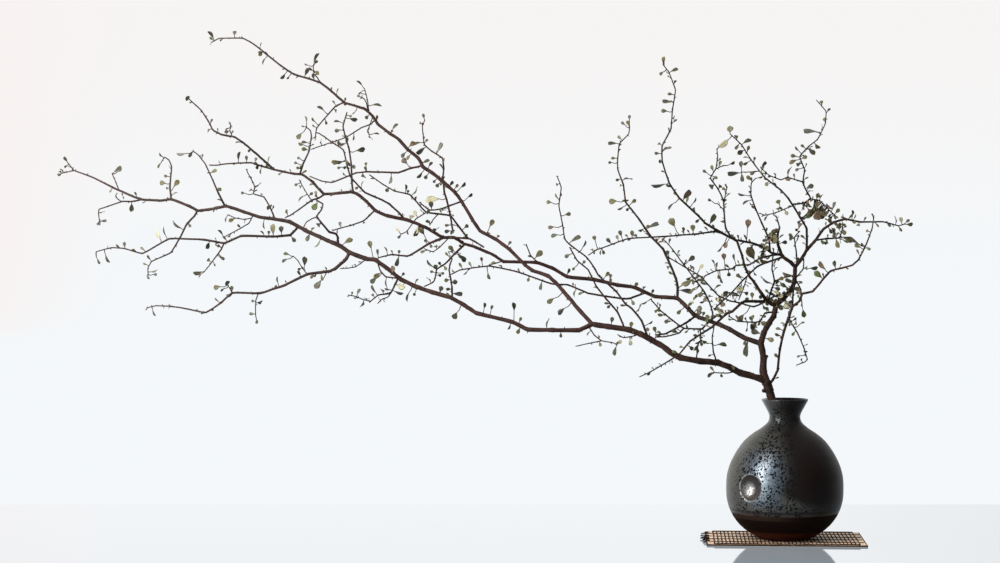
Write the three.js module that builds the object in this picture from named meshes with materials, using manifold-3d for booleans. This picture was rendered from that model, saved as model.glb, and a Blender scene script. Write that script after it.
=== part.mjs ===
// A cut branch of a wiry, zigzag bush stands in a round iron-glazed vase with a narrow flared neck. The vase
// stands on a low mat of five wooden slats laced by fine threads.
// Millimetres, +Z up, the viewer in front at -Y. The origin is under the middle of the mat, on the vase's
// axis.
import * as THREE from "three";
import { mergeVertices } from "three/addons/utils/BufferGeometryUtils.js";
import Module from "manifold-3d";

const wasm = await Module();
wasm.setup();
const { Manifold } = wasm;

// Driving sizes
const EYE_X = -342;
const EYE_HEIGHT = 345.7;
const EYE_DISTANCE = 2880;
const TABLE_SHIFT = 1.1;
const CLEARANCE = 0.3;
const ROOT_REACH = 15;
const SIMPLIFY_TOLERANCE = 0.12;
const MERGE_DISTANCE = 1e-4;
const THINNEST_TWIG = 1.2;
// A limb under this radius has this many sides, and its corners stand out by this share
const LIMB_SIDES = [[1.5, 3, 1.3], [2.3, 4, 1.15], [3.3, 5, 1.08], [Infinity, 6, 1.06]];
const CORNER_REACH = 1.3;
const LEAF_GROWTH = 1.2;
const LEAF_THICKNESS = 0.7;
const LEAF_PROPORTION = 0.62;
const STALK_WIDTH = 0.9;
const SHOULDER = 0.6;
const TIP_SHARE = 0.42;
const LEAF_CLEARANCE = 0.4;
const LEAST_STALK = 1.5;
const LEAN_SCATTER = 1.5;
const STALK_BEND_REACH = 3.5;
const STRAIGHT_AWAY = 0.1;
const LEAF_SAMPLES = [0.25, 0.5, 0.75, 1];
// How much longer the stalk is, and which way it leans, in the order in which they are tried
const LEAF_TRIES = [[1, 1], [1, -1], [1.3, 1], [1.3, -1], [1.6, 1], [1.6, -1]];
// The steps of a repeatable scatter over a place
const SCATTER_STEPS = [12.9898, 78.233, 37.719];
const SCATTER_SIZE = 43758.5453;
const LATHE_SEGMENTS = 24;
const VASE_WALL = 5;
const DIMPLE_RADIUS = 25;
const DIMPLE_SEGMENTS = 22;
const DIMPLE_RINGS = 14;
const DIMPLE_AXIS_DISTANCE = 89;
const DIMPLE_HEIGHT = 67.5;
const DIMPLE_ANGLE = THREE.MathUtils.degToRad(228);
const MAT_LENGTH = 186;
const MAT_DEPTH = 130;
const MAT_TURN = THREE.MathUtils.degToRad(-4);
const SLAT_COUNT = 5;
const SLAT_GAP = 2;
const SLAT_THICKNESS = 2;
const CORD_WIDTH = 1.2;
const CORD_LENGTH = 170;
const THREAD_COUNT = 38;
const THREAD_PITCH = 4.6;
const THREAD_WIDTH = 0.9;
const THREAD_THICKNESS = 0.6;
const FIRST_THREAD_X = -85.5;
const EDGE_CORD_WIDTH = 1.4;
const EDGE_CORD_INSET = 1.5;

// The vase: outside from the middle of the foot to the lip, then the hollow from above the lip to the floor
const VASE_OUTSIDE = [[0, 5.2], [25, 5.2], [26.5, 3.2], [32, 3.2], [36, 5], [42.3, 9], [54.5, 19], [62, 29],
  [66.6, 39], [69.6, 52], [70, 64], [69.1, 77], [66.2, 89], [61.8, 99], [56, 109], [48.5, 119], [36.7, 129],
  [28.7, 134], [22.6, 139], [19, 144], [18.5, 149], [20.1, 154], [22.9, 159], [27.5, 167.4], [27.9, 168.6],
  [27, 169.6], [0, 169.6]];
const VASE_HOLLOW = [[0, 12], [38, 14], [49, 21], [61.5, 40], [65, 64], [64, 78], [57.5, 97.5], [45, 117.5],
  [25.8, 131.5], [18.6, 137.5], [14.4, 147], [18.6, 159], [24.3, 168], [25.5, 170.5], [0, 170.5]];
const WATER_OUTLINE = [[0, 12.4], [37.8, 14.4], [48.6, 21.4], [61.1, 40.1], [64.6, 64],
  [63.6, 77.8], [57.1, 97.3], [44.5, 117.2], [0, 117.2]];

// The branch, bough by bough and run by run. A line holds points as seen from the front (x, z). Thickness and
// depth behind the vase's axis are spread evenly along it. A run grows from the nearest point of the run that it
// is on.
const BRANCH = {
  trunk: [
    { name: "stem foot", on: "", thick: [9, 9.2], depth: [0, 0], line: [[27, 16.4], [-8.5, 148], [-15.5,
      170]] },
    { name: "trunk", on: "stem foot", thick: [9.5, 10.8, 8.6, 7.4, 7.3, 6.4, 6.4, 6, 5.4, 5, 4.8], depth:
      [0, 0, -2, 2, 5], line: [[-15.5, 170], [-18.5, 180], [-22, 190], [-26, 203], [-25.3, 220], [-29, 237],
      [-25, 250.6], [-20, 260], [-13.5, 269.5], [-10.5, 283], [-1.5, 291.7], [6, 300], [11.3, 310.6], [12.2,
      330.3]] },
    { name: "left knob", on: "trunk", thick: [5, 4.2], depth: [0, -3], line: [[-19, 181], [-27, 180.5]] },
    { name: "right knob", on: "trunk", thick: [4.4, 3.4], depth: [0, 2], line: [[-25.3, 220], [-20.6, 222]]
      },
    { name: "inner left twig", on: "trunk", thick: [1.9, 1.6, 1.2, 0.9], depth: [0, 8, 8, 6], line: [[-12.6,
      275], [-23.8, 273.7], [-29.8, 264], [-36.7, 262.6], [-57.5, 264], [-68, 270.5]] },
    { name: "long inner twig", on: "trunk", thick: [2, 1.7, 1.5, 1.3, 1.2], depth: [0, 16, 24, 22, 16],
      line: [[-6.5, 287], [-8.4, 294], [-13.5, 293.6], [-24.7, 286.6], [-37.5, 281.3], [-53.1, 285.7], [-66,
      288.3], [-80.6, 295.2], [-101.1, 317.5], [-117.4, 327.3], [-141.4, 341.4]] },
    { name: "short right twig", on: "trunk", thick: [1.4, 1], depth: [0, 10, 12], line: [[12, 314], [22,
      327], [22.7, 339]] },
    { name: "leaf twig", on: "trunk", thick: [1.6, 1], depth: [0, 10, 14], line: [[11.9, 316], [19, 302],
      [19.8, 289], [20.5, 284]] },
  ],
  lower_bough: [
    { name: "lower bough", on: "trunk", thick: [8, 7.8, 7.3, 7.1, 6.8, 6.5, 6.3, 6.3], depth: [0, -12, -22,
      -28, -30, -30], line: [[-22, 190], [-31.3, 195.6], [-54, 202.2], [-66, 208.8], [-80.5, 214.2], [-102,
      216], [-126, 220.2], [-134.5, 224.4], [-150, 236], [-174, 249], [-185.5, 253.4], [-212.4, 257.3],
      [-231.6, 260.6]] },
    { name: "lower upright twig", on: "lower bough", thick: [1.6, 1], depth: [0, -6, 0], line: [[-81.7,
      214], [-86, 228], [-87.3, 245], [-85, 257]] },
    { name: "low hanging twig", on: "lower bough", thick: [1.2, 0.9], depth: [0, -26], line: [[-58, 204],
      [-68.5, 201.6], [-85.3, 202.2]] },
    { name: "under twig", on: "lower bough", thick: [1.2, 0.9], depth: [0, -36, -40], line: [[-173, 248.5],
      [-185.5, 245.3], [-194.1, 244.3], [-201, 248]] },
    { name: "first riser", on: "lower bough", thick: [2, 1.8, 1.5, 1.2], depth: [-30, -25, -20, -25], line:
      [[-192, 254.5], [-200.8, 275], [-214.3, 290.4], [-225.8, 304.8], [-230.6, 314.4], [-236.4, 326],
      [-249.3, 336.5], [-258.4, 353]] },
    { name: "second riser", on: "lower bough", thick: [2.2, 2, 1.7, 1.4, 1.1, 0.9], depth: [-29, -8, 4, 0,
      -8, -12], line: [[-164, 244], [-172, 264.5], [-183.6, 279], [-191.2, 284.6], [-202.8, 300], [-223.9,
      319.2], [-228.7, 327.8], [-238.3, 341], [-258.4, 356], [-264.2, 362.6], [-267.1, 381], [-271.4, 402],
      [-268.5, 424.1], [-273.3, 437.5]] },
  ],
  upper_bough: [
    { name: "upper bough", on: "lower bough", thick: [5, 4.6, 4.4, 4.2, 4.1, 4, 4, 4.4, 4.1, 3.6, 3.2, 2.8],
      depth: [-30, -5, 15, 28, 38, 45, 50, 48], line: [[-231.6, 260.6], [-244, 274], [-259.4, 292.3],
      [-274.7, 309.6], [-284.3, 318.2], [-303.5, 325], [-311.2, 330.7], [-330.4, 350.2], [-347.7, 362.6],
      [-365.9, 372.2], [-375.5, 386.6], [-388, 407.8], [-396.7, 419.3], [-411.1, 431.8], [-423.6, 442.3],
      [-434.2, 449], [-440, 459.6], [-452.4, 469.7], [-463, 481.7], [-474.5, 489.4], [-488.9, 500.9],
      [-494.6, 510], [-504.2, 518.6], [-531, 526.6]] },
    { name: "upper tip", on: "upper bough", thick: [2.6, 2.1, 1.8, 1.3, 0.9], depth: [48, 44, 38, 30, 24],
      line: [[-528, 525.8], [-543.6, 539.3], [-557, 549.8], [-570.5, 554.6], [-588.7, 559.9], [-605, 570.5],
      [-622.3, 584.4], [-636.2, 595.4], [-649.7, 603], [-678.5, 603.1], [-686.2, 599.1]] },
    { name: "upper fork twig", on: "upper bough", thick: [1.6, 1.3, 0.9], depth: [48, 40, 34], line: [[-530,
      526.4], [-539.8, 521], [-546.5, 513.8], [-561.8, 495.6], [-563.8, 481]] },
    { name: "upper fork bud", on: "upper tip", thick: [1.2, 0.8], depth: [40, 34], line: [[-557, 549.8],
      [-561, 556], [-565, 560.5], [-566, 570]] },
    { name: "low fork twig", on: "upper bough", thick: [1.8, 1.1], depth: [30, 20, 10], line: [[-388,
      407.8], [-401.5, 403], [-413, 398.6], [-426.5, 397.2], [-439, 406.8]] },
    { name: "crossing twig", on: "upper bough", thick: [2.2, 1.6], depth: [38, 46, 50], line: [[-409.5,
      430.5], [-409, 419], [-406, 410], [-402, 392.4], [-399.6, 378], [-398, 370]] },
    { name: "bowed riser", on: "upper bough", thick: [2, 1.6, 1.2, 0.8], depth: [38, 54, 60, 56], line:
      [[-411.1, 431.8], [-409.5, 447.1], [-411.1, 459.6], [-423.6, 467.8], [-432.7, 475.9], [-434.6, 491.3],
      [-435.1, 499], [-432.2, 504.7]] },
    { name: "level twig", on: "upper bough", thick: [2.3, 2, 1.7, 1.4, 1], depth: [42, 60, 70, 75, 78],
      line: [[-435, 450.5], [-448.6, 447.6], [-463.9, 442.3], [-500.4, 443.3], [-514.8, 441.8], [-543.6,
      430.5], [-556.1, 432.2], [-570.5, 438]] },
    { name: "faint twig", on: "upper bough", thick: [1.3, 0.9], depth: [48, 60, 66], line: [[-492, 505.5],
      [-496.5, 500.5], [-508.1, 496.1], [-527, 484.4], [-553.2, 475.4], [-569, 470]] },
    { name: "fork spur", on: "upper bough", thick: [1.2, 0.9], depth: [48, 40], line: [[-500, 515], [-502.3,
      526.3], [-505.2, 531.1]] },
    { name: "fork whisker", on: "upper bough", thick: [1.1, 0.8], depth: [48, 56], line: [[-499, 514],
      [-500.9, 529.2], [-504.2, 542.6]] },
    { name: "hanging spur", on: "upper bough", thick: [1, 0.8], depth: [48, 42], line: [[-495, 509],
      [-500.4, 493.2], [-499.3, 488.5]] },
  ],
  long_bough: [
    { name: "long bough", on: "lower bough", thick: [5.3, 5, 4.8, 4.7, 4.6, 4.5, 4.6, 4.8, 4.8, 4.6, 4.8, 5,
      4.8], depth: [-30, -34, -32, -26, -20, -14, -8, -4, -4, -8], line: [[-231.6, 260.6], [-246.9, 253.4],
      [-279.5, 253.4], [-308.3, 253.9], [-327.5, 263], [-369.8, 273.6], [-384.2, 282.7], [-401.5, 292.6],
      [-423.6, 298.8], [-442.8, 305.5], [-461, 314.2], [-469.7, 321.4], [-490.8, 337.2], [-503.3, 339.1],
      [-523.4, 346.8], [-534, 354.5], [-546.5, 359.8]] },
    { name: "forked under twig", on: "long bough", thick: [1.3, 0.9], depth: [-32, -42, -46], line: [[-236,
      258.5], [-228.7, 247.2], [-220, 240.5], [-206.6, 238.1], [-201.8, 235.7]] },
    { name: "under fork", on: "forked under twig", thick: [1.1, 0.8], depth: [-40, -34], line: [[-220,
      240.5], [-231.6, 238.1], [-251.3, 233.8]] },
    { name: "middle riser", on: "long bough", thick: [2.1, 1.4], depth: [-15, -20, -26], line: [[-399.3,
      291.5], [-399.6, 304.1], [-400.6, 311.8], [-403, 325.2], [-402, 331.9], [-399.3, 339]] },
    { name: "drooping spray", on: "long bough", thick: [2.3, 1.5, 1], depth: [-4, -16, -24], line: [[-464.5,
      315.5], [-468.7, 306.5], [-473.5, 297.4], [-487.9, 295.4], [-499, 286.3]] },
    { name: "drooping fork", on: "drooping spray", thick: [1.2, 0.8], depth: [-12, -4], line: [[-473.5,
      297.4], [-476.4, 293], [-484.1, 290.2], [-488.9, 284.9]] },
    { name: "drooping tip", on: "drooping spray", thick: [1, 0.8], depth: [-24, -30], line: [[-497, 288],
      [-505.2, 289.7], [-516.7, 294], [-524, 295.4]] },
    { name: "side strand", on: "long bough", thick: [1.4, 1.2], depth: [-6, -14, -6], line: [[-489, 335.8],
      [-486, 325.2], [-479.3, 317.5], [-462, 315]] },
    { name: "fine back twig", on: "long bough", thick: [1, 0.8], depth: [-4, 8], line: [[-502, 338.8],
      [-514.8, 329.5], [-524.4, 327.6], [-534, 327.1]] },
    { name: "zigzag riser", on: "long bough", thick: [2.8, 2.3, 1.8, 1.3], depth: [-8, -22, -30, -26], line:
      [[-536, 355.8], [-536.6, 364], [-538.5, 368.6], [-546.5, 371], [-557, 382.8], [-561.8, 390], [-556,
      398.2], [-554.6, 404.5], [-562.8, 409.7]] },
    { name: "riser side twig", on: "zigzag riser", thick: [1.1, 0.8], depth: [-26, -34], line: [[-561.3,
      389], [-567.6, 387.1], [-574.3, 382.8], [-577.7, 377]] },
  ],
  far_left_spray: [
    { name: "far bough", on: "long bough", thick: [4.6, 4.4, 4.1, 3.7, 3.4, 3.3, 3.2, 3, 2.8, 2.5, 2.2, 1.9,
      1.5, 1.2], depth: [-8, -14, -22, -30, -34, -34, -28, -22], line: [[-546.5, 359.8], [-559, 365.5],
      [-576.2, 373.2], [-594.5, 383.3], [-611.8, 386.4], [-630, 389], [-648.2, 394.8], [-670.3, 402],
      [-682.8, 399.6], [-700.1, 396.7], [-704.9, 396.7], [-714.5, 402], [-736.6, 410.3], [-750, 408.7],
      [-771, 410], [-783, 414], [-806, 424.2], [-832, 437.2], [-855.5, 445.7]] },
    { name: "far tip twig", on: "far bough", thick: [1.1, 0.8], depth: [-22, -14], line: [[-853, 444.8],
      [-862, 442.7], [-868, 441.5]] },
    { name: "far tip point", on: "far bough", thick: [1, 0.8], depth: [-22, -26], line: [[-853, 444.8],
      [-860.5, 454.2]] },
    { name: "forward riser", on: "far bough", thick: [2.3, 1.6, 1.2, 0.8], depth: [-34, -44, -50], line:
      [[-672, 401.8], [-679.4, 416.9], [-695.3, 452.4], [-703.9, 463.4], [-709.7, 467.8]] },
    { name: "outer riser", on: "far bough", thick: [2.1, 1.4, 0.9], depth: [-30, -16, -8], line: [[-736.6,
      410.3], [-738, 426], [-735.9, 449.5], [-739, 457.2], [-744.2, 460.5], [-747.5, 456]] },
    { name: "curving dropper", on: "far bough", thick: [2.3, 1.9, 1.3, 0.8], depth: [-34, -22, -10, -4],
      line: [[-705, 396.7], [-708.7, 390], [-717.4, 380.9], [-726, 364.2], [-737, 346.2], [-750, 340.2],
      [-760, 335.7], [-764.5, 328], [-764.3, 320]] },
    { name: "level fork", on: "far bough", thick: [1.7, 1.2, 0.8], depth: [-27, -38, -44], line: [[-771,
      410], [-784, 407.6], [-795, 407.7], [-814, 401.2], [-823, 398.2], [-823.7, 393.2], [-822.5, 384]] },
    { name: "fork curl", on: "level fork", thick: [0.9, 0.8], depth: [-34, -40], line: [[-796, 407.4],
      [-801.5, 411.5], [-803, 415]] },
    { name: "whisker", on: "far bough", thick: [1, 0.8], depth: [-25, -18], line: [[-799, 421.2], [-803,
      431.2], [-807.3, 441]] },
    { name: "back riser", on: "far bough", thick: [1.7, 1.3, 0.8], depth: [-22, -14, -8], line: [[-612,
      386.5], [-617.5, 400.1], [-625.2, 413], [-637.7, 416.9], [-636.2, 424.6], [-637.7, 429.4], [-644.4,
      441.8], [-646.5, 447]] },
    { name: "fine under twig", on: "far bough", thick: [1.1, 0.8], depth: [-28, -38], line: [[-638, 391.5],
      [-643.4, 381.4], [-654, 375.1], [-673.2, 364.8]] },
    { name: "pale under twig", on: "fine under twig", thick: [0.9, 0.8], depth: [-30, -24], line: [[-640,
      387.5], [-649.2, 386.2], [-660.7, 388.1], [-668.4, 391.9]] },
  ],
  low_left_spray: [
    { name: "low bough", on: "far bough", thick: [2.7, 2.5, 2.3, 2, 1.6, 1.2, 0.9], depth: [-23, -40, -54,
      -62, -66, -66], line: [[-584, 377.4], [-593.5, 367.4], [-615.6, 365.5], [-652, 366.3], [-673, 357.7],
      [-696, 361.7], [-739, 362.9], [-771, 345.2], [-793, 351.2], [-808, 352.2], [-826.5, 347.2], [-826.5,
      342]] },
    { name: "low dropper", on: "low bough", thick: [1.6, 1, 0.8], depth: [-50, -42, -38], line: [[-673,
      357.7], [-676.5, 350.2], [-689, 333.2], [-696, 324.5]] },
  ],
  lowest_spray: [
    { name: "lowest bough", on: "long bough", thick: [3.8, 3.4, 3.1, 2.8, 2.5, 2.2, 2, 1.6, 1.3, 0.9],
      depth: [-5, -20, -34, -44, -50, -52], line: [[-522.5, 346.4], [-526.3, 339.1], [-539.8, 327.1],
      [-545.5, 324.2], [-572.4, 320.4], [-600.2, 307.4], [-630, 297.5], [-663.5, 298], [-676, 286.7], [-695,
      274.3], [-720, 279.2], [-736, 281.7], [-755, 282.5], [-766, 279.8]] },
    { name: "lowest dropper", on: "lowest bough", thick: [1.1, 0.8], depth: [-38, -32], line: [[-632,
      297.4], [-635, 289.2], [-635.5, 272.2], [-634.5, 267]] },
    { name: "lowest whisker", on: "lowest bough", thick: [1, 0.8], depth: [-26, -18], line: [[-573, 320.2],
      [-579.1, 327.6], [-584.9, 337.2], [-590, 342]] },
    { name: "lowest spur", on: "lowest bough", thick: [1.1, 0.8], depth: [-42, -48], line: [[-663.5, 298],
      [-668.5, 307.5]] },
  ],
  middle_bough: [
    { name: "middle bough", on: "trunk", thick: [6.2, 5.4, 4.8, 4.8, 4.6, 4.2, 4.3, 4.2, 3.9, 3.7, 3.5, 3.3,
      3.2], depth: [0, 14, 28, 40, 47, 50, 48, 42, 36, 32, 30, 28], line: [[-29, 237], [-48, 243.6], [-66,
      254], [-78.5, 260], [-103.5, 268.7], [-109, 271.4], [-115, 278.3], [-129.6, 291.7], [-156, 293.5],
      [-180.7, 304.8], [-200.8, 307.2], [-231.6, 314.4], [-261.3, 317.3], [-279.5, 327.8], [-298.7, 334.6],
      [-338, 335.6], [-349, 343], [-370.7, 352.6], [-386, 357.2]] },
    { name: "lower strand", on: "middle bough", thick: [2.2, 1.9, 1.6, 1.4, 1.1], depth: [46, 30, 22, 16,
      12], line: [[-167, 298.5], [-185.5, 291.4], [-195, 290.9], [-236.4, 297.6], [-260.4, 307.7], [-279.5,
      308.6], [-319.9, 323], [-355.4, 330.2], [-390, 325.4], [-401, 320]] },
    { name: "strand link", on: "lower strand", thick: [1.2, 1.1], depth: [14, 26], line: [[-356, 330.2],
      [-351, 332.6], [-340, 335.6]] },
    { name: "slanting twig", on: "middle bough", thick: [2.5, 1.7, 1.1], depth: [28, 16, 8], line: [[-384,
      356.6], [-395.8, 345.4], [-407.3, 333.4], [-417.8, 326.2], [-419.8, 315.6], [-422.2, 310.8], [-433.2,
      305.4]] },
    { name: "elbow twig", on: "middle bough", thick: [2.6, 1.6], depth: [38, 20, 10], line: [[-107, 270.4],
      [-119, 261.7], [-127, 257.6], [-143, 248.9], [-154.3, 247.6]] },
    { name: "thin loop twig", on: "middle bough", thick: [1.3, 0.9], depth: [30, 36], line: [[-296, 333.6],
      [-305.5, 343.4], [-310.8, 357]] },
  ],
  middle_riser: [
    { name: "middle riser stem", on: "middle bough", thick: [3, 2.6, 2.4, 2.1, 1.8, 1.4, 1.1, 0.9], depth:
      [42, 55, 62, 60, 56], line: [[-129, 291.2], [-129, 305.5], [-130.7, 315], [-138.9, 334], [-146.6,
      351], [-161.5, 366], [-174, 384.7], [-185.5, 399.6], [-191.2, 406.8], [-194.1, 427.9], [-200.8,
      446.2], [-200.8, 459.6], [-198.7, 477], [-187.9, 488.4], [-186.5, 495.5]] },
  ],
  upper_spray: [
    { name: "upper spray", on: "middle bough", thick: [3.3, 3.6, 3.8, 3.9, 3.7, 3.3, 3, 2.6, 2.2, 1.8, 1.4,
      1.1], depth: [28, 22, 14, 8, 4, 0, -4, -6], line: [[-386, 357.2], [-397, 364.4], [-411.1, 364.6],
      [-431.3, 376.6], [-452.4, 385.2], [-477.4, 390.5], [-490.8, 396.2], [-502.3, 407.8], [-512.9, 416.4],
      [-519, 418.9], [-534, 417.8], [-553.2, 416.7], [-567.6, 431.8], [-579.1, 439.9], [-589.7, 440.9],
      [-615.6, 446.5], [-633.8, 451.9], [-640.6, 454.1], [-669.4, 452.9], [-682.8, 451], [-691, 451.3]] },
    { name: "spray second strand", on: "upper spray", thick: [2.1, 1.7], depth: [25, 17, 14], line: [[-399,
      364.4], [-379.4, 363.1], [-372, 359.5], [-361, 352.5]] },
    { name: "spray lower arm", on: "upper spray", thick: [2.8, 2.3, 1.8, 1.2], depth: [22, 27, 31, 33],
      line: [[-409, 364.6], [-426.5, 357.4], [-448.6, 343.9], [-453.4, 342], [-471.6, 343.9], [-488, 340.2]]
      },
    { name: "spray fine loop", on: "upper spray", thick: [1, 0.8], depth: [22, 14], line: [[-403, 364.5],
      [-414, 353], [-422.6, 347.3], [-433, 351]] },
    { name: "spray front twig", on: "spray second strand", thick: [2.4, 2, 1.7, 1.5, 1.3, 1], depth: [20, 6,
      -4, -10, -12], line: [[-380.5, 363.4], [-391, 377], [-399.6, 388.6], [-403.4, 391], [-415.9, 392.7],
      [-431, 395], [-443.8, 409.2], [-450.5, 416], [-468.7, 420.2], [-484.1, 429.4], [-499, 439.9]] },
    { name: "front twig spur", on: "spray front twig", thick: [1.1, 0.8], depth: [0, -8], line: [[-415.9,
      392.7], [-421.7, 386.6], [-426.5, 379]] },
    { name: "front twig whisker", on: "spray front twig", thick: [1.1, 0.8], depth: [-5, -14], line: [[-430,
      394.8], [-442.8, 386.6], [-454.3, 371.3], [-460.5, 368.5]] },
    { name: "arched riser", on: "upper spray", thick: [2.3, 1.9, 1.5, 1.1], depth: [16, 0, -12, -20, -25],
      line: [[-456, 386], [-463, 393.8], [-474.5, 404.4], [-484.1, 409.7], [-503.8, 418.3], [-521.5, 437.5],
      [-525.8, 452.9], [-529.7, 469.2], [-543.6, 478.8], [-559, 489.4], [-563, 490]] },
    { name: "straight riser", on: "upper spray", thick: [2.3, 1.7, 1.2], depth: [7, 14, 20, 24], line:
      [[-518, 418.6], [-519.8, 430], [-520.1, 449], [-523.4, 472.1], [-528.2, 487.9], [-530.2, 498],
      [-525.4, 514.8]] },
    { name: "down fork", on: "upper spray", thick: [1.9, 1.6, 1.2], depth: [4, -1, -2], line: [[-551.5,
      416.8], [-559.9, 411.6], [-567.6, 409.2], [-583, 398.2], [-593.5, 391], [-599, 388.6]] },
    { name: "fork up twig", on: "down fork", thick: [1, 0.8], depth: [-1, -8], line: [[-568, 408.9],
      [-571.4, 413.5], [-576.2, 421.2], [-583, 434]] },
    { name: "back link", on: "upper spray", thick: [1.7, 1], depth: [10, 14, 15], line: [[-492, 396.8],
      [-498.5, 391], [-505.2, 384.7], [-520.6, 379], [-535.9, 375.1], [-543, 372.5]] },
    { name: "leaning riser", on: "upper spray", thick: [2.1, 1.5, 1], depth: [2, -8, -14], line: [[-582,
      440.2], [-578.2, 452.9], [-571, 468.2], [-568.1, 486.5], [-569.5, 492.7], [-574, 496.5]] },
    { name: "second tip", on: "upper spray", thick: [2.6, 2.3, 2, 1.7, 1.3, 0.9], depth: [-1, -14, -26, -34,
      -38], line: [[-613, 446], [-624.2, 455.8], [-634.8, 465.4], [-647.3, 475.9], [-659.8, 484.6], [-676.1,
      487.9], [-686.2, 493.2], [-691.9, 504.2], [-700.1, 516.7], [-715, 530.6], [-719, 532.8]] },
    { name: "second tip whisker", on: "second tip", thick: [1, 0.8], depth: [-24, -18], line: [[-663,
      485.2], [-666, 493], [-664.5, 498]] },
  ],
  left_arm: [
    { name: "left arm", on: "trunk", thick: [5, 4.4, 3.5, 2.9, 2.6, 2.4, 2.5], depth: [-2, -10, -18, -25,
      -30], line: [[-10.6, 282], [-22, 288.3], [-28, 297], [-36.7, 310.6], [-42.7, 317.5], [-49, 332],
      [-51.3, 342], [-58, 360.5]] },
    { name: "arm upright", on: "left arm", thick: [1.9, 1.2], depth: [-8, -20, -28], line: [[-20, 287.2],
      [-17.8, 297], [-12.7, 312.3], [-15.7, 327], [-14.5, 342], [-13.3, 351]] },
    { name: "inner branch", on: "left arm", thick: [3.3, 3.1, 2.8, 2.5, 2.1, 1.8, 1.6, 1.3, 0.9], depth:
      [-10, -30, -48, -62, -66, -64, -58], line: [[-21, 287.8], [-47.8, 287.7], [-52, 286], [-63.4, 275.5],
      [-70.3, 272.9], [-86.6, 257.5], [-102.9, 247.2], [-113.5, 240.2], [-127.5, 223.8], [-135.5, 218.6],
      [-162, 202.8], [-174, 197.4]] },
    { name: "branch fork", on: "inner branch", thick: [2.3, 1.9, 1.5, 1.2], depth: [-44, -36, -28, -20],
      line: [[-74.5, 269.2], [-80.6, 271.6], [-94.3, 260.5], [-99.4, 254.7], [-121.5, 255.1], [-126.9,
      249.7], [-143, 245.5], [-156, 245]] },
    { name: "fork riser", on: "branch fork", thick: [1.6, 1.1], depth: [-28, -22, -18], line: [[-121,
      255.1], [-126, 258.3], [-141.4, 270.3], [-149.5, 276.8], [-161.5, 290.8]] },
    { name: "fork dropper", on: "branch fork", thick: [1.2, 0.9], depth: [-34, -40], line: [[-101.5, 254.7],
      [-101, 242]] },
    { name: "tall inner twig", on: "branch fork", thick: [1.8, 1.5, 1.2, 0.9], depth: [-38, -30, -28, -27,
      -26], line: [[-98.5, 255.8], [-88.3, 266], [-86.6, 273.7], [-90.9, 287.5], [-96.9, 299.5], [-109.7,
      316.6], [-123.4, 334.5], [-136.3, 351.8], [-146, 362.5]] },
  ],
  left_risers: [
    { name: "tall riser", on: "left arm", thick: [2.8, 2.5, 2.2, 2, 1.8, 1.6, 1.4, 1.2, 1, 0.8], depth:
      [-30, -44, -54, -60, -58, -52], line: [[-58, 360.5], [-78.9, 371.5], [-96, 381.8], [-103.7, 390.3],
      [-126.9, 411.7], [-138.9, 429.8], [-147.3, 455], [-147.6, 474], [-137, 495], [-135.1, 519], [-131.7,
      541.2], [-139.4, 562.3], [-146.5, 571.5]] },
    { name: "short riser", on: "tall riser", thick: [2, 1.6, 1.3, 0.9], depth: [-32, -22, -16, -12], line:
      [[-63.5, 363.4], [-71.1, 375], [-73.3, 397.2], [-73.7, 408.3], [-80.6, 423], [-89.6, 435.7], [-83.1,
      447], [-81, 462], [-82, 471]] },
    { name: "short riser left", on: "short riser", thick: [0.9, 0.8], depth: [-20, -26], line: [[-73.4,
      397], [-80.6, 404.9]] },
    { name: "short riser right", on: "short riser", thick: [1, 0.8], depth: [-18, -12], line: [[-73.5, 407],
      [-71.1, 418.6], [-69.4, 425.5]] },
    { name: "short riser top", on: "short riser", thick: [0.9, 0.8], depth: [-14, -8], line: [[-83.3,
      446.6], [-77.1, 449.5], [-72, 450.8]] },
    { name: "long level twig", on: "tall riser", thick: [1.9, 1.6, 1.4, 1.2, 0.9], depth: [-40, -54, -62,
      -66], line: [[-75, 369.4], [-84.9, 371.5], [-107, 368.5], [-126, 367.2], [-143.1, 365.7], [-188.4,
      363.1], [-213.3, 354], [-225.8, 349.7], [-236.4, 343]] },
  ],
  crown_left: [
    { name: "crown arm", on: "trunk", thick: [4.4, 4.1, 3.6, 2.9, 2], depth: [5, 2, -4, -8], line: [[12.2,
      329], [7, 334.6], [-3.3, 342], [-8.4, 356], [-9.3, 363], [-8.8, 367.5], [-6.3, 377.5]] },
    { name: "crown arm tip", on: "crown arm", thick: [1.3, 0.9], depth: [-8, -12], line: [[-6.5, 376.5],
      [-10, 388.6], [-14, 391.6]] },
    { name: "back runner", on: "crown arm", thick: [2.2, 1.9, 1.7, 1.4], depth: [2, 20, 34, 44, 52], line:
      [[-2, 341.2], [-22, 334.6], [-33.3, 329.5], [-51.3, 312.3], [-65.1, 297], [-83.1, 280.6]] },
    { name: "back twig", on: "back runner", thick: [1.1, 0.8], depth: [30, 34], line: [[-45.6, 317.8],
      [-48.9, 306.3], [-53.1, 295.2], [-55.7, 289]] },
    { name: "level runner", on: "crown arm", thick: [2.1, 1.6, 1.1], depth: [0, 12, 24, 34, 40], line:
      [[-4.5, 344], [-16, 343], [-30, 339.5], [-42.9, 331.6], [-58.3, 331.2], [-63.4, 326.9], [-82.3,
      324.7], [-96, 318.3], [-100.5, 309.5]] },
    { name: "forward runner", on: "crown arm", thick: [2.8, 2.5, 2.3], depth: [0, -8, -14, -20, -23], line:
      [[-4, 343], [-16, 345.8], [-23.8, 351.8], [-39.3, 357.8], [-50.5, 359.8], [-57, 361.4]] },
    { name: "runner riser", on: "forward runner", thick: [2.1, 1.5, 0.9], depth: [-4, -14, -20], line:
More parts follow.
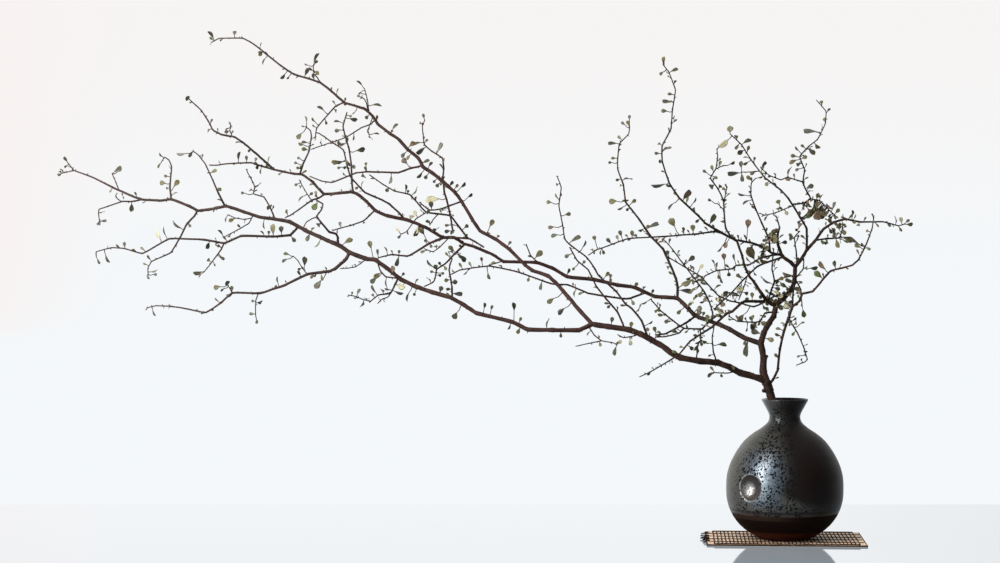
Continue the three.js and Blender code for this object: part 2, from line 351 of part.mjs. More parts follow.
      [[-18, 347], [-19.5, 363], [-28, 381.8], [-35, 398], [-41, 415.2], [-40.5, 429.8], [-35, 435.7]] },
  ],
  crown_right: [
    { name: "right arm", on: "trunk", thick: [4.4, 4, 3.6, 3.2, 2.8, 2.4, 2.1, 1.8, 1.5, 1.2, 0.9], depth:
      [5, 10, 16, 20, 20, 16], line: [[12.2, 329], [20, 339], [26.5, 350], [35.3, 359.5], [45.6, 374],
      [58.3, 382.6], [72, 386.5], [90.9, 383], [117.5, 383.3], [136.3, 378.5], [143.2, 380.5]] },
    { name: "crown riser", on: "right arm", thick: [2.7, 2.3, 1.9, 1.5, 1.2, 0.9], depth: [12, 24, 34, 40,
      38], line: [[26.5, 349], [25.9, 375], [18.2, 388.6], [3.6, 411.7], [-5, 421.2], [-24.7, 436.6],
      [-41.5, 458.5], [-52.6, 476], [-66, 488.5]] },
    { name: "arm loop", on: "right arm", thick: [1.9, 1.1], depth: [15, 4, 10], line: [[36.5, 361], [50,
      363.2], [65.2, 364.2], [69, 375.7], [68.8, 381.7]] },
    { name: "right riser", on: "crown riser", thick: [1.9, 1.6, 1.3, 1.1, 0.9, 0.7], depth: [30, 14, 4, -4],
      line: [[8.5, 404], [23, 405.8], [30.2, 411.7], [24.2, 423], [21.2, 431], [23.3, 446], [17.5, 461.2],
      [28.6, 474.2], [38.8, 482], [48, 501], [48.9, 515.7], [37, 529.5]] },
    { name: "riser left twig", on: "right riser", thick: [1.3, 0.8], depth: [12, 20], line: [[21.2, 431],
      [2.7, 436.6], [-5, 433.6], [-19.5, 439.2], [-29, 447.8]] },
    { name: "riser right twig", on: "right riser", thick: [1.1, 0.8], depth: [20, 26], line: [[29.5, 410.5],
      [41.2, 409], [54, 396.3], [64, 387.5]] },
    { name: "centre twig", on: "right arm", thick: [1.7, 1.3, 0.9], depth: [6, 26, 30], line: [[14.5, 332],
      [13.5, 346.6], [11.3, 364.6], [18, 372.3]] },
    { name: "pale twig", on: "crown riser", thick: [1, 0.8], depth: [28, 42], line: [[9.5, 402.5], [3.6,
      400.2], [-10, 394.6], [-23.8, 391.2], [-31.5, 393.8]] },
    { name: "riser whisker", on: "crown riser", thick: [1, 0.8], depth: [38, 44], line: [[-30.5, 444.2],
      [-42, 443], [-52, 442.8]] },
  ],
  right_stem: [
    { name: "right stem", on: "trunk", thick: [3, 2.7, 2.6, 2.6, 2.9, 3.3, 3.1, 2.6, 2.4, 2.3, 2.2, 2, 1.8,
      1.5, 1.2, 0.9], depth: [0, -14, -22, -26, -30, -34, -36, -32], line: [[-20.5, 186], [-14, 194], [-8.7,
      205], [-6, 231], [-0.9, 252.5], [4.6, 268.3], [9, 281.5], [17.3, 288], [21.2, 297], [33.4, 299.8],
      [47.3, 316.4], [55, 324.3], [80.6, 331.2], [88.3, 338], [97.8, 357], [104.6, 375.7], [106.7, 391]] },
    { name: "drooping twig", on: "right stem", thick: [1.6, 1.2, 0.8], depth: [-27, -36, -40], line: [[4.3,
      267.5], [14.7, 250.5], [22.5, 232.8], [26.9, 218], [24, 215], [15.5, 211.8]] },
    { name: "stem strand", on: "right stem", thick: [2, 1.4], depth: [-28, -16, -13], line: [[9, 281], [9.8,
      298.6], [11, 308]] },
  ],
};

// The larger leaves: where the middle of the blade is seen (x, z), its length and the width that is seen, and
// for a few a point on the twig that their stalk grows from.
const LEAVES = [
  [-47.6, 231, 15, 3], [34.9, 327.3, 8, 4], [24, 224.8, 10, 2], [-75, 236.4, 9, 4], [-88.5, 200, 12, 2],
  [-112.3, 339, 8, 5], [-99.4, 310.6, 8, 5], [-52, 415.2, 8, 2], [-47, 407.5, 8, 2], [43, 414.3, 8, 3],
  [4.6, 445, 11, 2], [-88.3, 425.5, 8, 6], [-61.8, 440.3, 14, 3], [-52.7, 436.4, 10, 2],
  [-137.6, 402.3, 8, 2], [-152, 426, 13, 3], [-133.7, 565.2, 8, 3], [-141, 528, 13, 2],
  [-141.5, 470, 13, 2], [59.6, 401, 13, 2], [82.3, 360.3, 9, 3], [-45.5, 480.5, 9, 4],
  [-58.2, 473.7, 8, 2], [-53.5, 466.8, 8, 5], [-25.7, 451.5, 8, 3], [31.4, 467.7, 9, 5],
  [33.7, 493.5, 20, 2], [-188.4, 436, 12, 3], [-159.6, 379.5, 14, 2], [-240.2, 356, 8, 2],
  [-253, 363, 14, 2], [-174, 279, 12, 3], [-253.2, 297, 8, 2], [-204.5, 228.6, 9, 3], [-206.5, 478, 12, 2],
  [-325, 281.8, 8, 4, -324.2, 264.5], [-285.8, 262, 11, 2], [-293.4, 306.7, 9, 2], [-441.8, 477.8, 8, 3],
  [-468.2, 498, 8, 3], [-489.6, 524, 10, 3], [-498, 484, 8, 3], [-499.5, 493, 10, 2], [-438, 438.5, 8, 3],
  [-431, 456, 8, 3], [-436, 468, 12, 3], [-494.2, 312.7, 8, 5], [-479.5, 309, 10, 2],
  [-463.5, 297.5, 9, 3], [-494, 301.5, 10, 2], [-502.3, 291.6, 8, 6], [-427, 314.5, 8, 2],
  [-398.2, 370.3, 10, 4], [-390.5, 343.4, 8, 2], [-489, 346, 8, 2], [-464, 336, 12, 2],
  [-507, 283.5, 9, 3], [-517.7, 505.7, 8, 4], [-557, 520, 8, 3], [-509, 539.8, 9, 2],
  [-505.7, 535.9, 8, 2], [-510, 550, 8, 2], [-581, 412, 8, 2], [-572.4, 364.6, 8, 4], [-626, 379.5, 8, 2],
  [-577, 498.5, 8, 2], [-625.5, 576.5, 8, 2], [-688, 608, 9, 3], [-576.2, 336.2, 9, 5, -575.3, 326.6],
  [-715, 530.5, 9, 3], [-668.5, 496.5, 8, 3], [-664.5, 500, 9, 2], [-632, 427, 9, 2],
  [-730.5, 378.5, 12, 3], [-745.5, 371, 10, 2], [-691.5, 355, 8, 3], [-676.5, 340, 9, 2],
  [-668, 309, 9, 3], [-630, 286.2, 8, 4], [-801, 446, 12, 3], [-796, 414.5, 9, 4], [-802.5, 415, 9, 2],
  [-783.5, 400.5, 8, 4], [-824.2, 336.5, 8, 2], [-814, 339, 9, 3], [-63.4, 208, 8, 3], [-71.1, 296, 10, 7],
  [-15.3, 362, 11, 9], [-41, 345, 14, 9], [37.9, 405, 8, 5], [51.6, 403, 8, 5],
  [-135.4, 382.6, 9, 7, -126.9, 372.3], [-87, 386, 11, 5], [134, 386, 9, 3], [69, 390, 8, 3],
  [9.2, 455.7, 8, 4], [-207, 407.8, 8, 6, -196, 408.2], [-352, 381.8, 8, 5], [-295.4, 344.4, 9, 6],
  [-281.5, 288.5, 8, 5, -269.9, 296.2], [-506.2, 437.5, 9, 5], [-489.4, 319, 8, 5],
  [-436.1, 372.7, 9, 6, -428.4, 361.7], [-497.9, 356, 8, 5, -492.2, 341], [-534.5, 478, 8, 3],
  [-614.6, 374.2, 10, 5], [-618, 400, 9, 3], [-556.1, 317, 8, 2], [-523.9, 360.7, 9, 5, -533, 356.4],
  [-685.5, 444, 8, 3], [-730.3, 429.4, 8, 5, -735.6, 419.8], [-705, 321.5, 9, 4], [39.6, 320, 9, 6],
  [22.5, 273, 8, 5], [-418.8, 328.6, 8, 5], [-563.8, 402, 8, 6], [-53, 267.7, 9, 6, -42.7, 277.6],
  [-35.4, 302.9, 8, 5], [43.9, 330.3, 10, 4], [-111.4, 329.5, 8, 5], [-44.4, 381, 9, 6, -46, 362],
  [17.3, 379, 12, 6], [2.7, 435, 8, 5], [29.3, 394.6, 8, 5], [41.3, 392.8, 14, 9], [-118.3, 414.3, 13, 5],
  [38.8, 473.2, 8, 4], [-191.2, 409.7, 8, 7], [-468.7, 487.4, 8, 5], [-471.6, 326.2, 11, 5],
  [-614.2, 304.6, 11, 6], [-35.4, 251, 9, 6], [-24.3, 312, 14, 3], [2.7, 319.2, 10, 3],
  [-118.9, 301.3, 15, 3], [-103, 277.2, 9, 5], [-269, 276, 9, 5], [-472.6, 433.7, 9, 3],
  [-414, 472, 12, 3], [-482.6, 301.2, 8, 4], [-453.5, 293.5, 9, 2], [-397.2, 310.8, 8, 5],
  [-393.3, 297.5, 12, 3], [-426.5, 332, 10, 2], [-515, 515, 9, 2], [-574.5, 563.3, 9, 3],
  [-563.5, 580, 11, 2], [-560.4, 307.9, 10, 6, -549, 320], [-560, 356.5, 9, 2], [-656, 462, 9, 2],
  [-724, 464, 9, 3], [-764.5, 318, 9, 3], [-757, 323.5, 8, 2], [-17.8, 242, 8, 5], [-108, 317.5, 12, 6],
  [-117.4, 309.7, 12, 6], [-55.7, 303.7, 12, 6], [-77.1, 274.6, 8, 7], [-66.5, 493.5, 8, 7],
  [-72, 478, 9, 6], [-77, 474, 8, 5], [-443, 420, 11, 2], [-423.6, 410.6, 14, 7, -409.2, 410.2],
  [-410.2, 396.2, 11, 7], [-462, 306, 11, 6], [-752, 367, 9, 4]];

// A point as seen from the front, set back by its depth, as a place in space
function place(point) {
  const scale = (EYE_DISTANCE + point.y) / EYE_DISTANCE;
  return new THREE.Vector3(EYE_X + (point.x - EYE_X) * scale, point.y,
    EYE_HEIGHT + (point.z - TABLE_SHIFT - EYE_HEIGHT) * scale);
}

// A value from a list that is spread evenly over 0 to 1
function spread(values, t) {
  const at = t * (values.length - 1);
  const low = Math.min(Math.floor(at), values.length - 2);
  return THREE.MathUtils.lerp(values[low], values[low + 1], at - low);
}

// A value between 0 and 1 that is always the same for a place and a channel
function scatter(x, z, channel) {
  const [acrossStep, upStep, channelStep] = SCATTER_STEPS;
  const value = Math.sin(x * acrossStep + z * upStep + channel * channelStep) * SCATTER_SIZE;
  return value - Math.floor(value);
}

// A closed geometry as a solid that can be joined and cut
function solidOf(geometry) {
  geometry.deleteAttribute("normal");
  geometry.deleteAttribute("uv");
  const merged = mergeVertices(geometry, MERGE_DISTANCE);
  const index = merged.index.array;
  const corners = [];
  for (let i = 0; i < index.length; i += 3) {
    const [a, b, c] = [index[i], index[i + 1], index[i + 2]];
    if (a !== b && b !== c && c !== a) {
      corners.push(a, b, c);
    }
  }
  return new Manifold(new wasm.Mesh({ numProp: 3, vertProperties: merged.attributes.position.array,
    triVerts: new Uint32Array(corners) }));
}

// A bar of unit half width along Y is bent along the points, with a half width and a half depth at each
function sweep(bar, points, halfWidths, halfDepths, firstSide) {
  const side = firstSide.clone();
  const frames = points.map((point, i) => {
    const before = points[Math.max(i - 1, 0)];
    const after = points[Math.min(i + 1, points.length - 1)];
    const along = after.clone().sub(before).normalize();
    side.addScaledVector(along, -side.dot(along)).normalize();
    return { side: side.clone(), up: side.clone().cross(along) };
  });
  const position = bar.attributes.position;
  for (let v = 0; v < position.count; v += 1) {
    const i = Math.round((0.5 + position.getY(v)) * (points.length - 1));
    const moved = points[i].clone();
    moved.addScaledVector(frames[i].side, position.getX(v) * halfWidths[i]);
    moved.addScaledVector(frames[i].up, position.getZ(v) * halfDepths[i]);
    position.setXYZ(v, moved.x, moved.y, moved.z);
  }
  return solidOf(bar);
}

// A limb, or with an extra size all round a limb that is cut out of another solid for it
function limb(line, radii, extra) {
  const points = line.map((point) => point.clone());
  const last = points.length - 1;
  points[0].addScaledVector(line[1].clone().sub(line[0]).normalize(), -extra);
  points[last].addScaledVector(line[last].clone().sub(line[last - 1]).normalize(), extra);
  const thickest = Math.max(...radii);
  const [, sides, stretch] = LIMB_SIDES.find(([limit]) => thickest < limit);
  const reach = radii.map((radius) => radius * stretch + extra / Math.cos(Math.PI / sides));
  const bar = new THREE.CylinderGeometry(1, 1, 1, sides, last);
  return sweep(bar, points, reach, reach, new THREE.Vector3(0, 0, 1));
}

// The nearest point of a run's line to a point of the front view
function nearestOn(run, x, z) {
  let best = { distance: Infinity };
  for (let i = 0; i < run.seen.length - 1; i += 1) {
    const a = run.seen[i];
    const b = run.seen[i + 1];
    const dx = b.x - a.x;
    const dz = b.z - a.z;
    const t = THREE.MathUtils.clamp(((x - a.x) * dx + (z - a.z) * dz) / (dx * dx + dz * dz), 0, 1);
    const point = a.clone().lerp(b, t);
    const distance = Math.hypot(point.x - x, point.z - z);
    if (distance < best.distance) {
      best = { distance, point };
    }
  }
  return best;
}

// Every run as points in space with a radius at each
const runs = new Map();
function readRun(node, { name, on, thick, depth, line }) {
  const seen = line.map(([x, z]) => new THREE.Vector3(x, 0, z));
  const depths = depth.slice();
  if (on) {
    const root = nearestOn(runs.get(on), seen[0].x, seen[0].z).point;
    seen[0] = root.clone();
    depths[0] = root.y;
  }
  const lengths = [0];
  for (let i = 1; i < seen.length; i += 1) {
    lengths.push(lengths[i - 1] + Math.hypot(seen[i].x - seen[i - 1].x, seen[i].z - seen[i - 1].z));
  }
  const whole = lengths[lengths.length - 1];
  seen.forEach((point, i) => {
    point.y = spread(depths, lengths[i] / whole);
  });
  const radii = lengths.map((length) => Math.max(spread(thick, length / whole), THINNEST_TWIG) / 2);
  runs.set(name, { node, seen, radii, points: seen.map(place) });
}

for (const [node, rows] of Object.entries(BRANCH)) {
  rows.forEach((row) => readRun(node, row));
}

// A leaf hangs on the nearest run by a stalk as long as its size asks for, turned so that it is seen as wide
// as it looks. Where it would touch another bough it leans the other way, or its stalk is longer.
const bladePlaces = [];

function gapToOthers(blade) {
  let gap = Infinity;
  const closest = new THREE.Vector3();
  for (const sample of blade.samples) {
    for (const run of runs.values()) {
      if (run.node !== blade.node) {
        for (let i = 0; i < run.seen.length - 1; i += 1) {
          const segment = new THREE.Line3(run.seen[i], run.seen[i + 1]);
          segment.closestPointToPoint(sample, true, closest);
          const radius = Math.max(run.radii[i], run.radii[i + 1]) * CORNER_REACH;
          gap = Math.min(gap, closest.distanceTo(sample) - radius - blade.half);
        }
      }
    }
    for (const other of bladePlaces) {
      if (other.node !== blade.node) {
        for (const theirs of other.samples) {
          gap = Math.min(gap, theirs.distanceTo(sample) - blade.half - other.half);
        }
      }
    }
  }
  return gap;
}

function bladeFor([x, z, seenLength, seenWidth, rootX, rootZ], stretch, flip) {
  const length = seenLength * LEAF_GROWTH;
  const width = seenWidth * LEAF_GROWTH;
  let best = { distance: Infinity };
  for (const run of runs.values()) {
    const found = nearestOn(run, rootX ?? x, rootZ ?? z);
    if (found.distance < best.distance) {
      best = { ...found, run };
    }
  }
  const root = best.point;
  const apart = Math.hypot(root.x - x, root.z - z);
  const reach = Math.max(apart, LEAF_PROPORTION * length + LEAST_STALK) * stretch;
  const sign = (scatter(x, z, 1) < 0.5 ? -1 : 1) * flip;
  const lean = Math.sqrt(Math.max(reach * reach - apart * apart, 0));
  const away = sign * (lean + scatter(x, z, 2) * LEAN_SCATTER);
  const middle = new THREE.Vector3(x, root.y + away, z);
  const along = middle.clone().sub(root).normalize();
  const tip = middle.clone().addScaledVector(along, length / 2);
  const fullWidth = Math.max(width, LEAF_PROPORTION * length);
  const side = new THREE.Vector3().crossVectors(along, new THREE.Vector3(0, 1, 0));
  if (side.length() < STRAIGHT_AWAY) {
    side.set(1, 0, 0);
  }
  const turn = Math.acos(Math.min(1, width / fullWidth)) * (scatter(x, z, 3) < 0.5 ? -1 : 1);
  side.normalize().applyAxisAngle(along, turn);
  const samples = LEAF_SAMPLES.map((t) => root.clone().lerp(tip, t));
  return { node: best.run.node, root, middle, along, tip, length, fullWidth, side, samples,
    half: fullWidth / 2 };
}

function leafSolid(blade) {
  const { root, middle, along, tip, length, fullWidth, side } = blade;
  const base = middle.clone().addScaledVector(along, -length / 2);
  const stations = [[root, STALK_WIDTH / 2]];
  if (middle.distanceTo(root) > length / 2 + STALK_BEND_REACH) {
    stations.push([base, STALK_WIDTH / 2]);
  }
  stations.push([base.clone().addScaledVector(along, length * SHOULDER), fullWidth / 2]);
  stations.push([tip, fullWidth / 2 * TIP_SHARE]);
  const bar = new THREE.BoxGeometry(2, 1, 2, 1, stations.length - 1, 1);
  const depths = stations.map(() => LEAF_THICKNESS / 2);
  return sweep(bar, stations.map(([point]) => place(point)), stations.map(([, half]) => half), depths, side);
}

const leafSolids = [];
for (const row of LEAVES) {
  const choices = LEAF_TRIES.map(([stretch, flip]) => bladeFor(row, stretch, flip));
  const blade = choices.find((choice) => gapToOthers(choice) > LEAF_CLEARANCE);
  if (blade) {
    bladePlaces.push(blade);
    leafSolids.push([blade.node, leafSolid(blade)]);
  }
}

// Each bough is one solid of its runs and leaves, cut clear of the earlier boughs around its root
const woodSolids = new Map();
const boughs = new Map();
for (const run of runs.values()) {
  if (!boughs.has(run.node)) {
    boughs.set(run.node, []);
  }
  boughs.get(run.node).push(run);
}

function distanceToRun(point, run) {
  const closest = new THREE.Vector3();
  return Math.min(...run.points.slice(1).map((end, i) => {
    new THREE.Line3(run.points[i], end).closestPointToPoint(point, true, closest);
    return closest.distanceTo(point);
  }));
}

const doneNodes = [];
for (const [node, list] of boughs) {
  const wood = list.map((run) => limb(run.points, run.radii, 0));
  const leaves = leafSolids.filter(([owner]) => owner === node).map(([, solid]) => solid);
  let solid = Manifold.union(wood.concat(leaves));
  const root = list[0].points[0];
  for (const earlier of doneNodes) {
    for (const run of boughs.get(earlier).filter((other) => distanceToRun(root, other) < ROOT_REACH)) {
      solid = solid.subtract(limb(run.points, run.radii, CLEARANCE));
    }
  }
  const pieces = solid.decompose().sort((a, b) => b.volume() - a.volume());
  woodSolids.set(node, pieces[0].simplify(SIMPLIFY_TOLERANCE));
  doneNodes.push(node);
}

function lathe(profile) {
  const points = profile.map(([radius, height]) => new THREE.Vector2(radius, height));
  const geometry = new THREE.LatheGeometry(points, LATHE_SEGMENTS);
  geometry.rotateX(Math.PI / 2);
  return solidOf(geometry);
}

function dimpleBall(extra) {
  const ball = new THREE.SphereGeometry(DIMPLE_RADIUS + extra, DIMPLE_SEGMENTS, DIMPLE_RINGS);
  ball.translate(Math.cos(DIMPLE_ANGLE) * DIMPLE_AXIS_DISTANCE, Math.sin(DIMPLE_ANGLE) * DIMPLE_AXIS_DISTANCE,
    DIMPLE_HEIGHT);
  return solidOf(ball);
}

const foot = runs.get("stem foot");
const vaseHollow = lathe(VASE_HOLLOW).subtract(dimpleBall(VASE_WALL));
const vaseSolid = lathe(VASE_OUTSIDE).subtract(dimpleBall(0)).subtract(vaseHollow);
const waterSolid = lathe(WATER_OUTLINE).subtract(dimpleBall(VASE_WALL + CLEARANCE))
  .subtract(limb(foot.points, foot.radii, CLEARANCE));

function geometryOf(solid) {
  const mesh = solid.getMesh();
  const geometry = new THREE.BufferGeometry();
  geometry.setAttribute("position", new THREE.BufferAttribute(mesh.vertProperties, 3));
  geometry.setIndex(new THREE.BufferAttribute(mesh.triVerts, 1));
  return geometry;
}

const barkMaterial = new THREE.MeshStandardMaterial({ color: 0x4a3328, roughness: 0.75 });
const glazeMaterial = new THREE.MeshStandardMaterial({ color: 0x2e2b2c, roughness: 0.22, metalness: 0.3 });
const waterMaterial = new THREE.MeshStandardMaterial({ color: 0x9fb4ba, roughness: 0.05 });
const slatMaterial = new THREE.MeshStandardMaterial({ color: 0xc09a78, roughness: 0.55 });
const threadMaterial = new THREE.MeshStandardMaterial({ color: 0x33211b, roughness: 0.8 });

const group = new THREE.Group();

function add(parent, name, geometry, material) {
  const mesh = new THREE.Mesh(geometry, material);
  mesh.name = name;
  parent.add(mesh);
  return mesh;
}

for (const [node, solid] of woodSolids) {
  add(group, node, geometryOf(solid), barkMaterial);
}
add(group, "vase", geometryOf(vaseSolid), glazeMaterial);
add(group, "water", geometryOf(waterSolid), waterMaterial);

// The mat: slats along X with a cord in each gap, and the threads over them held by a cord at each end
const mat = new THREE.Group();
mat.rotation.z = MAT_TURN;
group.add(mat);
const slatWidth = (MAT_DEPTH - SLAT_GAP * (SLAT_COUNT - 1)) / SLAT_COUNT;
for (let i = 0; i < SLAT_COUNT; i += 1) {
  const y = -MAT_DEPTH / 2 + slatWidth / 2 + i * (slatWidth + SLAT_GAP);
  const slat = new THREE.BoxGeometry(MAT_LENGTH, slatWidth, SLAT_THICKNESS);
  add(mat, `mat_slat_${i + 1}`, slat, slatMaterial).position.set(0, y, SLAT_THICKNESS / 2);
  if (i > 0) {
    const cord = new THREE.BoxGeometry(CORD_LENGTH, CORD_WIDTH, CORD_WIDTH);
    const cordY = y - slatWidth / 2 - SLAT_GAP / 2;
    add(mat, `mat_cord_${i}`, cord, threadMaterial).position.set(0, cordY, CORD_WIDTH / 2);
  }
}

function flatBar(width, depth, x, y) {
  const bar = new THREE.BoxGeometry(width, depth, THREAD_THICKNESS);
  bar.translate(x, y, SLAT_THICKNESS + CLEARANCE + THREAD_THICKNESS / 2);
  return solidOf(bar);
}

const edgeY = MAT_DEPTH / 2 - EDGE_CORD_INSET;
const lacedLength = THREAD_PITCH * (THREAD_COUNT - 1) + THREAD_WIDTH;
const lacedMiddle = FIRST_THREAD_X + lacedLength / 2;
const lacing = [-edgeY, edgeY].map((y) => flatBar(lacedLength, EDGE_CORD_WIDTH, lacedMiddle, y));
for (let i = 0; i < THREAD_COUNT; i += 1) {
  lacing.push(flatBar(THREAD_WIDTH, edgeY * 2, FIRST_THREAD_X + THREAD_WIDTH / 2 + i * THREAD_PITCH, 0));
}
add(mat, "mat_threads", geometryOf(Manifold.union(lacing)), threadMaterial);

export default group;
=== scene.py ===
# %% [markdown]
# The frame comes first: the packed solids are loaded, and their placing is baked into their meshes. The frame
# is in metres, with X to the right, Y away from the viewer and Z up. The sizes of the branch, vase and mat
# are listed in millimetres, and MM turns them into metres.

# %% Load the frame
import math
import random
import bpy
import bmesh
from mathutils import Matrix, Vector
from mathutils.geometry import interpolate_bezier, intersect_point_line


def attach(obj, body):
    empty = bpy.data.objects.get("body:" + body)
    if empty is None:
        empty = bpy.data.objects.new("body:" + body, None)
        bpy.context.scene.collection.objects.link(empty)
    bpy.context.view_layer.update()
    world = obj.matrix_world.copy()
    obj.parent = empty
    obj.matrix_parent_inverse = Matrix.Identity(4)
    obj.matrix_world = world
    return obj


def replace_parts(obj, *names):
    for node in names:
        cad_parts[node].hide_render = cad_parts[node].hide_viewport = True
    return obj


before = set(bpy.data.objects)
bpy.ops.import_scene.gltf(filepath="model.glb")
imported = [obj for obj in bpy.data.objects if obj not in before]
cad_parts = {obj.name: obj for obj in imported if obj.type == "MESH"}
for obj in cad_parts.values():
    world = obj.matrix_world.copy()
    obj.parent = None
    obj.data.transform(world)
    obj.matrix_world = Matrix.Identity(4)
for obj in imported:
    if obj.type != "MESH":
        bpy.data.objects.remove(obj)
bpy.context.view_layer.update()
MM = 0.001
print("solids", len(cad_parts))

# %% [markdown]
# The camera stands almost three metres off with a long lens, so the branch is seen nearly flat. The branch
# was read off as it is seen from here, so the same eye turns each seen point and its depth into a place.

# %% Camera
EYE_X = -342
EYE_HEIGHT = 345.7
EYE_DISTANCE = 2880
PITCH_DOWN = math.radians(0.7)
LENS = 86.4
FILM_WIDTH = 36
FARTHEST_SEEN = 50
TABLE_SHIFT = 1.1

camera = bpy.data.objects.new("camera", bpy.data.cameras.new("camera"))
bpy.context.scene.collection.objects.link(camera)
camera.data.lens = LENS
camera.data.sensor_width = FILM_WIDTH
camera.data.clip_end = FARTHEST_SEEN
camera.location = (EYE_X * MM, -EYE_DISTANCE * MM, EYE_HEIGHT * MM)
camera.rotation_euler = (math.radians(90) - PITCH_DOWN, 0, 0)
bpy.context.scene.camera = camera
print("camera at", [round(value, 3) for value in camera.location], "lens", round(camera.data.lens, 1))


def place(point):
    scale = (EYE_DISTANCE + point.y) / EYE_DISTANCE
    x = EYE_X + (point.x - EYE_X) * scale
    z = EYE_HEIGHT + (point.z - TABLE_SHIFT - EYE_HEIGHT) * scale
    return Vector((x, point.y, z)) * MM


# %% [markdown]
# Materials are written as sums. A small class wraps a socket, so that a line such as `0.4 + 0.2 * noise` adds
# its own Math nodes, and a second class adds any other node to a tree. It keeps the finishes below short
# enough to read.

# %% Node helpers
class Value:
    def __init__(self, nodes, socket):
        self.nodes = nodes
        self.socket = socket

    def __add__(self, other):
        return self.nodes.math("ADD", self, other)

    def __sub__(self, other):
        return self.nodes.math("SUBTRACT", self, other)

    def __rsub__(self, other):
        return self.nodes.math("SUBTRACT", other, self)

    def __mul__(self, other):
        return self.nodes.math("MULTIPLY", self, other)

    __radd__ = __add__
    __rmul__ = __mul__


class Nodes:
    def __init__(self, tree):
        self.tree = tree

    def node(self, kind, settings, inputs, output=0):
        node = self.tree.nodes.new(kind)
        for key, value in settings.items():
            setattr(node, key, value)
        for key, value in inputs.items():
            self.give(node.inputs[key], value)
        return Value(self, node.outputs[output])

    def give(self, socket, value):
        if isinstance(value, Value):
            self.tree.links.new(value.socket, socket)
        else:
            socket.default_value = value

    def math(self, operation, a, b):
        return self.node("ShaderNodeMath", {"operation": operation}, {0: a, 1: b})

    def measure(self, operation, a, b):
        return self.node("ShaderNodeVectorMath", {"operation": operation}, {0: a, 1: b}, "Value")

    def step(self, value, low, high):
        ends = {"Value": value, "From Min": low, "From Max": high}
        return self.node("ShaderNodeMapRange", {"interpolation_type": "SMOOTHSTEP"}, ends)

    def mix(self, share, first, second):
        inputs = {"Factor": share, 6: first, 7: second}
        return self.node("ShaderNodeMix", {"data_type": "RGBA"}, inputs, 2)


print("what a tree can be given", [name for name in vars(Nodes) if name[0] != "_"])

# %% [markdown]
# A finish is one material. It reads Object coordinates, so that its pattern is fixed to the object with no
# unwrapping, and adds to the class above what only a surface needs: noise, a bump and the shader's sockets.

# %% Finish helper
class Finish(Nodes):
    def __init__(self, name):
        self.material = bpy.data.materials.new(name)
        self.material.use_nodes = True
        super().__init__(self.material.node_tree)
        self.shader = self.tree.nodes["Principled BSDF"]
        self.place = self.node("ShaderNodeTexCoord", {}, {}, "Object")

    def axis(self, name):
        return self.node("ShaderNodeSeparateXYZ", {}, {"Vector": self.place}, name)

    def noise(self, scale, detail=3, stretch=(1, 1, 1)):
        spot = self.node("ShaderNodeMapping", {}, {"Vector": self.place, "Scale": stretch})
        return self.node("ShaderNodeTexNoise", {}, {"Vector": spot, "Scale": scale, "Detail": detail})

    def bump(self, height, strength, distance):
        return self.node("ShaderNodeBump", {}, {"Height": height, "Strength": strength, "Distance": distance})

    def wear(self, **sockets):
        for key, value in sockets.items():
            self.give(self.shader.inputs[key.replace("_", " ")], value)
        return self.material


def rgb(red, green, blue):
    return (red, green, blue, 1.0)


print("what a finish adds", [name for name in vars(Finish) if name[0] != "_"])

# %% [markdown]
# Bark is dark red-brown on the older wood, redder on the middle boughs and greyer at the far end, with fine
# cracks and pale specks. The young twigs are nearly black. Two finishes are used, and each run of wood takes
# one by its thickness, which is cheaper than painting the mesh. How red it is follows the place along X.

# %% Bark
CRACK_DEPTH = 0.0012


def bark_finish(name, dark, light, cracks):
    bark = Finish(name)
    across = bark.axis("X")
    broad = bark.noise(90, 4, (1, 1, 0.6))
    fine = bark.noise(900, 3)
    specks = bark.step(bark.noise(420, 2), 0.62, 0.7)
    left = bark.step(across + 0.1 * broad, -0.03, -0.22)
    far_left = bark.step(across, -0.42, -0.6)
    ruddy = bark.mix(broad, rgb(0.018, 0.0064, 0.005), rgb(0.076, 0.03, 0.024))
    greyed = bark.mix(broad, rgb(0.026, 0.013, 0.011), rgb(0.1, 0.062, 0.052))
    colour = bark.mix(bark.step(broad * 0.7 + fine * 0.3, 0.38, 0.66), dark, light)
    colour = bark.mix(left * 0.65, colour, bark.mix(far_left, ruddy, greyed))
    colour = bark.mix(specks * 0.3, colour, rgb(0.08, 0.052, 0.036))
    relief = bark.bump(broad * 0.6 + fine * 0.4, cracks, CRACK_DEPTH)
    bark.wear(Specular_IOR_Level=0.14)
    return bark.wear(Base_Color=colour, Roughness=0.5 + 0.25 * fine, Normal=relief)


old_bark = bark_finish("old_bark", rgb(0.014, 0.0065, 0.004), rgb(0.056, 0.028, 0.0175), 0.9)
twig_bark = bark_finish("twig_bark", rgb(0.01, 0.006, 0.0045), rgb(0.025, 0.0155, 0.0115), 0.4)
print("bark nodes", len(old_bark.node_tree.nodes), len(twig_bark.node_tree.nodes))

# %% [markdown]
# The leaves are small and leathery, silver-felted underneath, and in winter colours above: from dark green
# and olive to brown, with a few pale ones. Each tone is a finish of its own with the same mottling. The felt
# is dull with a little sheen, and the upper sides are smoother.

